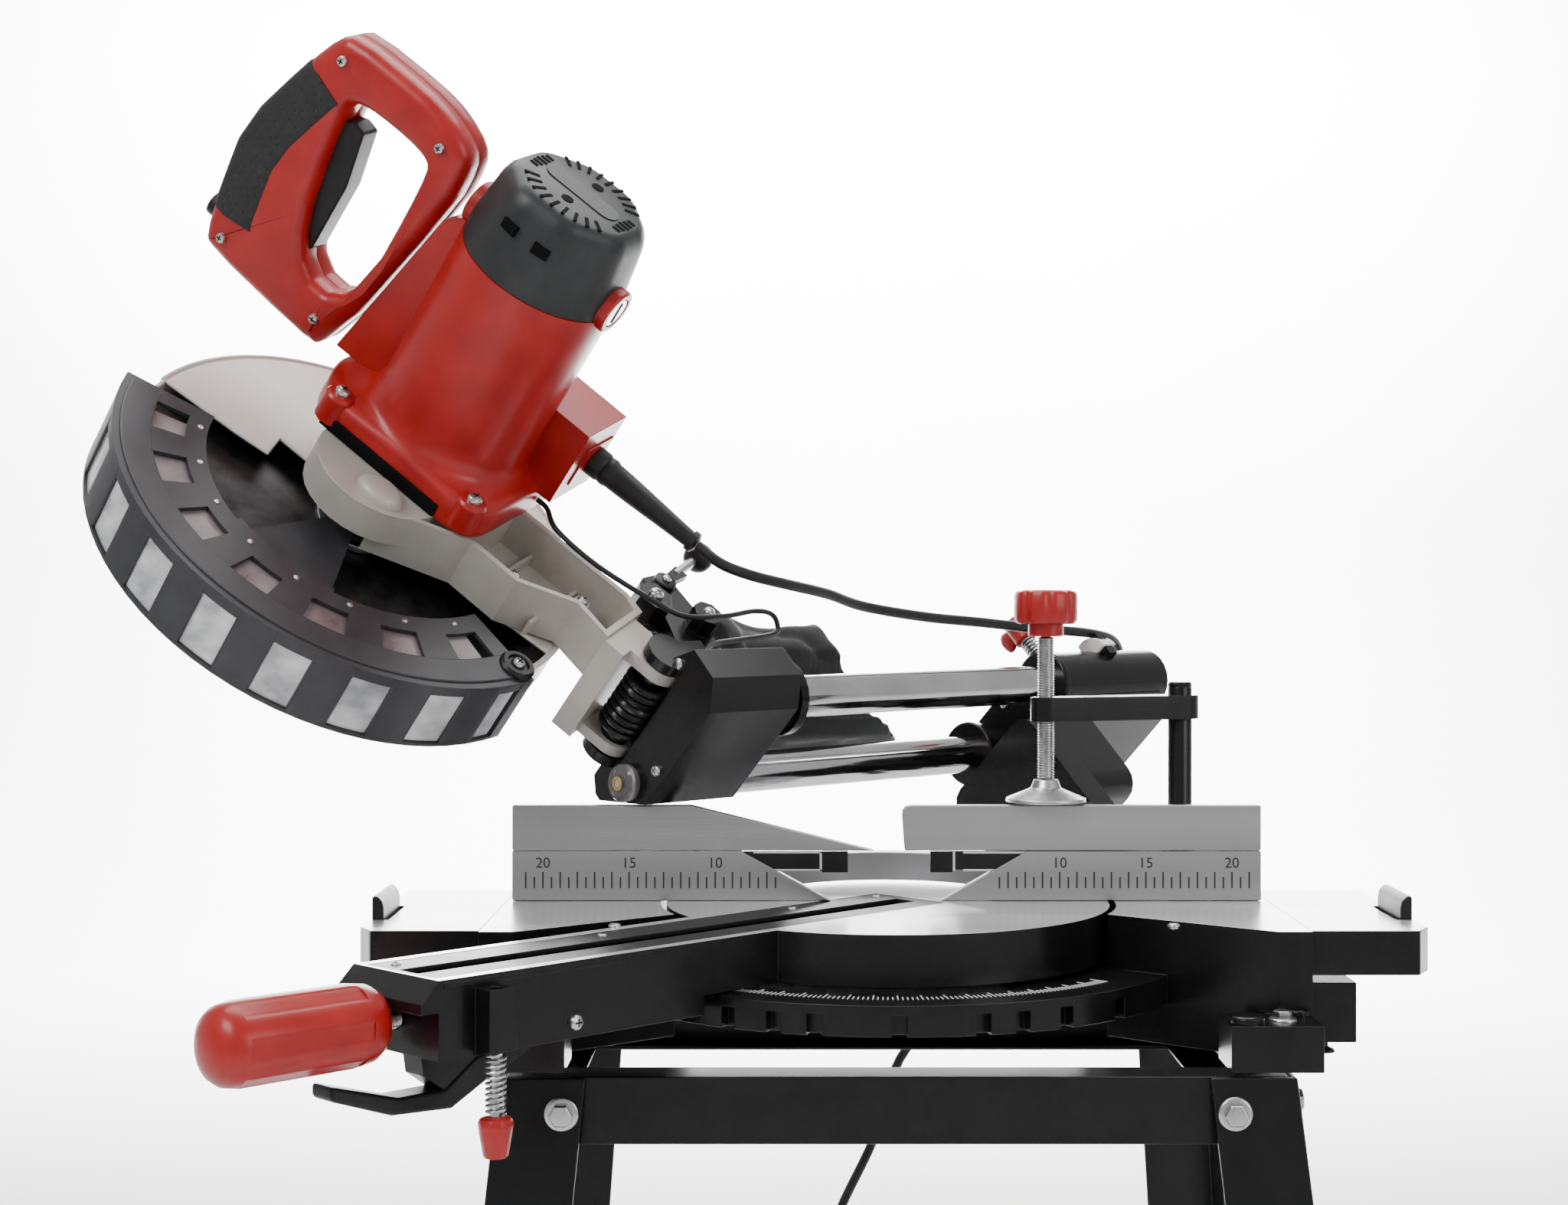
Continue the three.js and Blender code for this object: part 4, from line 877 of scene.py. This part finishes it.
def make_end_cap():
    cap = Piece("motor_cap", BLADE, CAP, RECESS_SHADE)
    loops = []
    for p, r, eight in ((186.2, 47.4, 0), (199, 47.4, 0.1), (204, 46.6, 0.5), (226, 43.5, 1), (232, 41.2, 1),
                        (235.6, 38, 0.9), (237.2, 34, 0.7), (237.4, 1, 0)):
        loop = []
        for a in around(96):
            wedge = (a + math.pi / 8) % (math.pi / 4) - math.pi / 8
            flat = math.cos(math.pi / 8) / math.cos(wedge) * 1.04
            k_r = r * (1 + (min(1, flat) - 1) * eight)
            loop.append((p, -MOTOR_F + math.cos(a) * k_r, MOTOR_V + math.sin(a) * k_r))
        loops.append(loop)
    cap.loft(loops)
    cy, cz = -MOTOR_F, MOTOR_V
    cap.prism(arc(cy + 17, cz, 7.5, -90, 90, 10) + arc(cy - 17, cz, 7.5, 90, 270, 10), 237, 237.95, "x")

    # Near-black slabs through the cap face and sides, and near-black discs: painted shade for the vent slits
    # and holes.
    def slit(y, z, angle, length, width):
        turn = Matrix.Rotation(rad(angle), 3, "X")
        corners = [(-length / 2, -width / 2), (length / 2, -width / 2), (length / 2, width / 2),
                   (-length / 2, width / 2)]
        cap.loft([[Vector((p, cy + y, cz + z)) + turn @ Vector((0, a, b)) for a, b in corners]
                  for p in (236.9, 237.62)], 1)
    for side in (-1, 1):
        for i in range(5):
            slit(side * 29.5, (i - 2) * 4.2, 0, 7 - abs(i - 2), 2.1)
        for i in range(9):
            fan = rad(side * (90 + (i - 4) * 12.5))
            slit(30.5 * math.cos(fan), 30.5 * math.sin(fan), math.degrees(fan), 9, 2.0)
        cap.prism(circle(cy, cz + side * 17, 3.6, 20), 236.9, 237.66, "x", 1)
        for along in (-1, 1):
            turn = Matrix.Rotation(rad(90 - side * 90 + along * 14), 3, "X")
            corners = [(-5, -2), (5, -2), (5, 2), (-5, 2)]
            cap.loft([[Vector((216 + b * 1.5, cy, cz)) + turn @ Vector((0, a, r)) for a, b in corners]
                      for r in (42, 46.2)], 1)
    cap.done("head", ("motor_end_cap",), smooth=28)


def polar(points, centre, count, rounds=2):
    """The outline seen from centre, as distances at even angles, with its corners cut smooth."""
    for _ in range(rounds):
        cut = []
        for i, (x, y) in enumerate(points):
            nx, ny = points[(i + 1) % len(points)]
            cut += [(x * k + nx * (1 - k), y * k + ny * (1 - k)) for k in (0.75, 0.25)]
        points = cut
    out = []
    for k in range(count):
        a = 2 * math.pi * k / count
        d = Vector((math.cos(a), math.sin(a)))
        best = 0
        for i, p in enumerate(points):
            q = points[(i + 1) % len(points)]
            u = Vector(p) - Vector(centre)
            w = Vector(q) - Vector(p)
            det = d.x * -w.y + d.y * w.x
            if abs(det) < 1e-9:
                continue
            t = (u.x * -w.y + u.y * w.x) / det
            s = (d.x * u.y - d.y * u.x) / det
            if -1e-6 <= s <= 1 + 1e-6 and t > best:
                best = t
        out.append(Vector(centre) + d * best)
    return out


def inset(loop, d):
    n = len(loop)
    out = []
    for i in range(n):
        t = (loop[(i + 1) % n] - loop[i - 1]).normalized()
        out.append(loop[i] + Vector((-t.y, t.x)) * d)
    return out


HANDLE_OUTER = [(224, 159), (231, 150), (231, 100), (228, 80), (219, 60), (209, 55), (184, 55), (58, 82),
                (56, 103), (62, 175), (69, 182), (101, 186), (144, 189), (199, 170)]
HANDLE_INNER = [(192, 137), (201, 128), (200, 82), (192, 76), (90, 79), (92, 125)]


def make_handle():
    count = 180
    centre = (146, 104)
    outer = polar(HANDLE_OUTER, centre, count, 1)
    inner = polar(HANDLE_INNER, centre, count, 2)
    soft = 8.5
    steps = [(0, 0.6), (0.4, 0.3), (7.5, 0.3)]
    steps += [(7.5 + soft * math.sin(rad(a)), 0.3 + soft * (1 - math.cos(rad(a))))
              for a in range(15, 91, 15)]
    middle = 48
    put = lambda q, h: (q.x, -q.y, middle + h)
    for name, sign in (("lower", -1), ("upper", 1)):
        half = Piece(f"handle_{name}_shell", BLADE, RED)
        loops = [[put(q, sign * (0.15 + h)) for q in inset(outer, d)] for h, d in steps]
        loops += [[put(q, sign * (0.15 + h)) for q in inset(inner, -d * 0.8)] for h, d in reversed(steps)]
        half.loft(loops, closed=True)
        half.done("head", (f"handle_{name}_half",), smooth=50)
    grip = Piece("handle_grip", BLADE, GRIP)
    chosen = [i for i in range(count) if outer[i].y > 150 and 84 < outer[i].x < 206]
    profile = [(-0.15 - h, d - 0.75) for h, d in reversed(steps)] + [(0.15 + h, d - 0.75) for h, d in steps]
    wrap = [(16.9, 12), (16.9, 29.0), (16.2, 30)]
    profile = [(-h, d) for h, d in reversed(wrap)] + profile + wrap
    loops = []
    for n, i in enumerate(chosen):
        fade = 0.9 if n in (0, len(chosen) - 1) else 0
        t = (outer[(i + 1) % count] - outer[i - 1]).normalized()
        normal = Vector((-t.y, t.x))
        ring = [put(outer[i] + normal * (d + fade), h) for h, d in profile]
        back = [put(outer[i] + normal * (min(d, 28) + 1.6), h * 0.9) for h, d in reversed(profile)]
        loops.append(ring + back)
    grip.loft(loops)
    grip.done("head", smooth=60)
    screws = Piece("handle_screws", BLADE, STEEL, RECESS_SHADE)
    for p, f in ((212, 74), (74, 94), (216, 148), (76, 168)):
        screws.screw((p, -f, 64.6), UP, 3.2)
        screws.screw((p, -f, 31.4), (0, 0, -1), 3.2)
    screws.done("head")


def make_blade():
    teeth = 60
    outline = []
    for i in range(teeth):
        a = 6 * i
        outline += [(116.4, a), (117.2, a + 0.9), (120.5, a + 2.4), (123.4, a + 4.3), (124.5, a + 5.2),
                    (124.7, a + 5.9)]
        if i % 15 == 7:
            outline += [(116.4, a + 6.0), (96, a + 6.05), (96, a + 6.45), (116.2, a + 6.2)]
    points = [(r * math.cos(rad(a)), r * math.sin(rad(a))) for r, a in outline]
    hole = [(10.4 * math.cos(rad(a)), 10.4 * math.sin(rad(a))) for _, a in outline]
    disc = Piece("saw_disc", BLADE, DISC, CARBIDE)
    half = 1.1
    disc.loft([[(-half, y, z) for y, z in points], [(half, y, z) for y, z in points],
               [(half, y, z) for y, z in hole], [(-half, y, z) for y, z in hole]], closed=True)
    for i in range(teeth):
        turn = Matrix.Rotation(rad(6 * i + 5.9), 3, "X")
        corners = [(120.2, -0.1), (124.95, -0.1), (124.8, -2.3), (121.4, -2.1)]
        disc.loft([[turn @ Vector((p, a, b)) for a, b in corners] for p in (-1.45, 1.45)], 1)
    disc.done("spindle", ("blade",), smooth=30)
    hub = Piece("flange_bolt", BLADE, STEEL, RECESS_SHADE)
    hub.lathe([(0.4, -16.4), (6.4, -16.4), (7, -15.8), (7, -12), (0.4, -12)], (0, 0, 0), OUT, 6)
    hub.done("spindle", bevel=0.3)


def make_guard():
    soften("lower_guard", 0.9)
    p0, p1 = GUARD_P
    windows = Piece("guard_windows", BLADE, TINT)
    windows.prism(seen(sector(104, 133, -160, -30, 40)), p1 - 4.2, p1 - 3.1, "x")
    windows.done("guard")
    # Clear rim, its near-white streaks painted highlights and painted background light.
    rim = Piece("guard_clear_rim", BLADE, CLEAR_PAINTED_SHEEN)
    rim.prism(seen(sector(146.4, 148.2, -164.4, -25.6, 60)), p0 + 2.8, p1 - 2.8, "x")
    rim.done("guard", ("guard_rim",), smooth=40)
    bands = Piece("guard_bands", BLADE, DARK)
    for i in range(8):
        middle = -155 + i * 17.2
        bands.prism(seen(sector(143.6, 149.9, middle - 4.4, middle + 4.4, 5)), p0 + 0.6, p1 - 0.6, "x")
    bands.prism(seen(sector(144.6, 149.7, -166.5, -23.5, 60)), p1 - 7.5, p1 - 0.2, "x")
    bands.prism(seen(sector(128.5, 146, -166.5, -23.5, 60)), p1 - 2, p1 + 1.1, "x")
    bands.done("guard", bevel=0.9)
    rivets = Piece("guard_rivets", BLADE, STEEL)
    for i in range(8):
        a = rad(-157 + 18 * i)
        rivets.lathe([(0.3, -1), (2, -0.6), (1.7, 0.5), (0.3, 0.9)],
                     (p1, -101.5 * math.cos(a), 101.5 * math.sin(a)), OUT, 16)
    rivets.done("guard")
    bumper = Piece("guard_bumper", BLADE, PLASTIC, STEEL, RECESS_SHADE)
    end = rad(-166)
    place = (p1 - 6, -139 * math.cos(end), 139 * math.sin(end))
    bumper.lathe([(0.5, 0), (10.5, 0), (10.5, 8), (9, 10), (6.6, 10), (6, 8.4), (0.5, 8.4)], place, OUT, 36)
    bumper.screw((place[0] + 8.4, place[1], place[2]), OUT, 4, 1, 2)
    bumper.done("guard")


def make_bag():
    """Sagging cloth bag: the CAD solid remeshed, swelled a little as cloth, then creased."""
    mesh = NODES["dust_bag"].data.copy()
    bag = bpy.data.objects.new("dust_bag_cloth", mesh)
    bpy.context.scene.collection.objects.link(bag)
    bpy.context.view_layer.objects.active = bag
    remesh = bag.modifiers.new("remesh", "REMESH")
    remesh.mode = "VOXEL"
    remesh.voxel_size = 0.0042
    take_modifiers(bag)
    inverse = TILT.inverted()
    rest = [v.co.copy() for v in bag.data.vertices]
    group = bag.vertex_groups.new(name="held")
    group.add([v.index for v in bag.data.vertices if (inverse @ v.co).y < 0], 1.0, "REPLACE")
    cloth = bag.modifiers.new("cloth", "CLOTH")
    cloth.settings.quality = 4
    cloth.settings.mass = 0.12
    cloth.settings.vertex_group_mass = "held"
    cloth.settings.use_pressure = True
    cloth.settings.uniform_pressure_force = 1.2
    cloth.settings.tension_stiffness = 12
    cloth.settings.bending_stiffness = 0.25
    cloth.settings.effector_weights.gravity = 0.12
    cloth.collision_settings.use_self_collision = False
    scene = bpy.context.scene
    for number in range(1, 19):
        scene.frame_set(number)
    take_modifiers(bag)
    scene.frame_set(1)
    centre = sum(rest, Vector()) / len(rest)
    for v, start in zip(bag.data.vertices, rest):
        local = inverse @ start
        move = v.co - start
        cap = 0.003 if local.x > 12 or local.z < 166 else 0.009
        if move.length > cap:
            move *= cap / move.length
        flat = Vector((local.x * 0.030, local.y * 0.012, local.z * 0.030))
        crease = noise.fractal(flat + Vector((3.1, 0.4, 7.7)), 0.9, 2.1, 3)
        ridge = (1 - abs(noise.noise(Vector((local.x * 0.05, local.y * 0.02, local.z * 0.055))))) ** 5
        reach = step(local.y, -20, 30)
        away = (start - centre).normalized()
        sag = -0.006 * step(local.y, 20, 120) * (1 - step(local.y, 150, 195))
        v.co = start + move + away * (reach * (-0.0035 + 0.0035 * crease - 0.004 * ridge))
        if local.z > 185:
            v.co += away * -abs(sag) * 0.6
    bag.data.materials.clear()
    smooth = bag.modifiers.new("even", "CORRECTIVE_SMOOTH")
    smooth.iterations = 4
    smooth.smooth_type = "SIMPLE"
    take_modifiers(bag)
    mesh = bag.data
    bpy.data.objects.remove(bag)
    made = settle("dust_bag_shell", mesh, [CLOTH], "head", ("dust_bag",), smooth=80)
    soft = made.modifiers.new("soft", "SUBSURF")
    soft.levels = 1
    soft.render_levels = 1
    collar = Piece("bag_collar", TILT, PLASTIC)
    collar.prism([(-13.4, 178.6), (11.4, 178.6), (11.4, 213.4), (-13.4, 213.4)], -20, -11, "y")
    collar.done("head", bevel=2.0, segments=3)


def take_modifiers(piece):
    bpy.context.view_layer.update()
    graph = bpy.context.evaluated_depsgraph_get()
    mesh = bpy.data.meshes.new_from_object(piece.evaluated_get(graph))
    piece.modifiers.clear()
    piece.data = mesh


set_scene()
make_cords()
make_stand()
make_base()
make_fences()
make_clamp()
make_turntable()
make_tilt()
make_slide()
make_head()
make_blade()
make_guard()
make_bag()
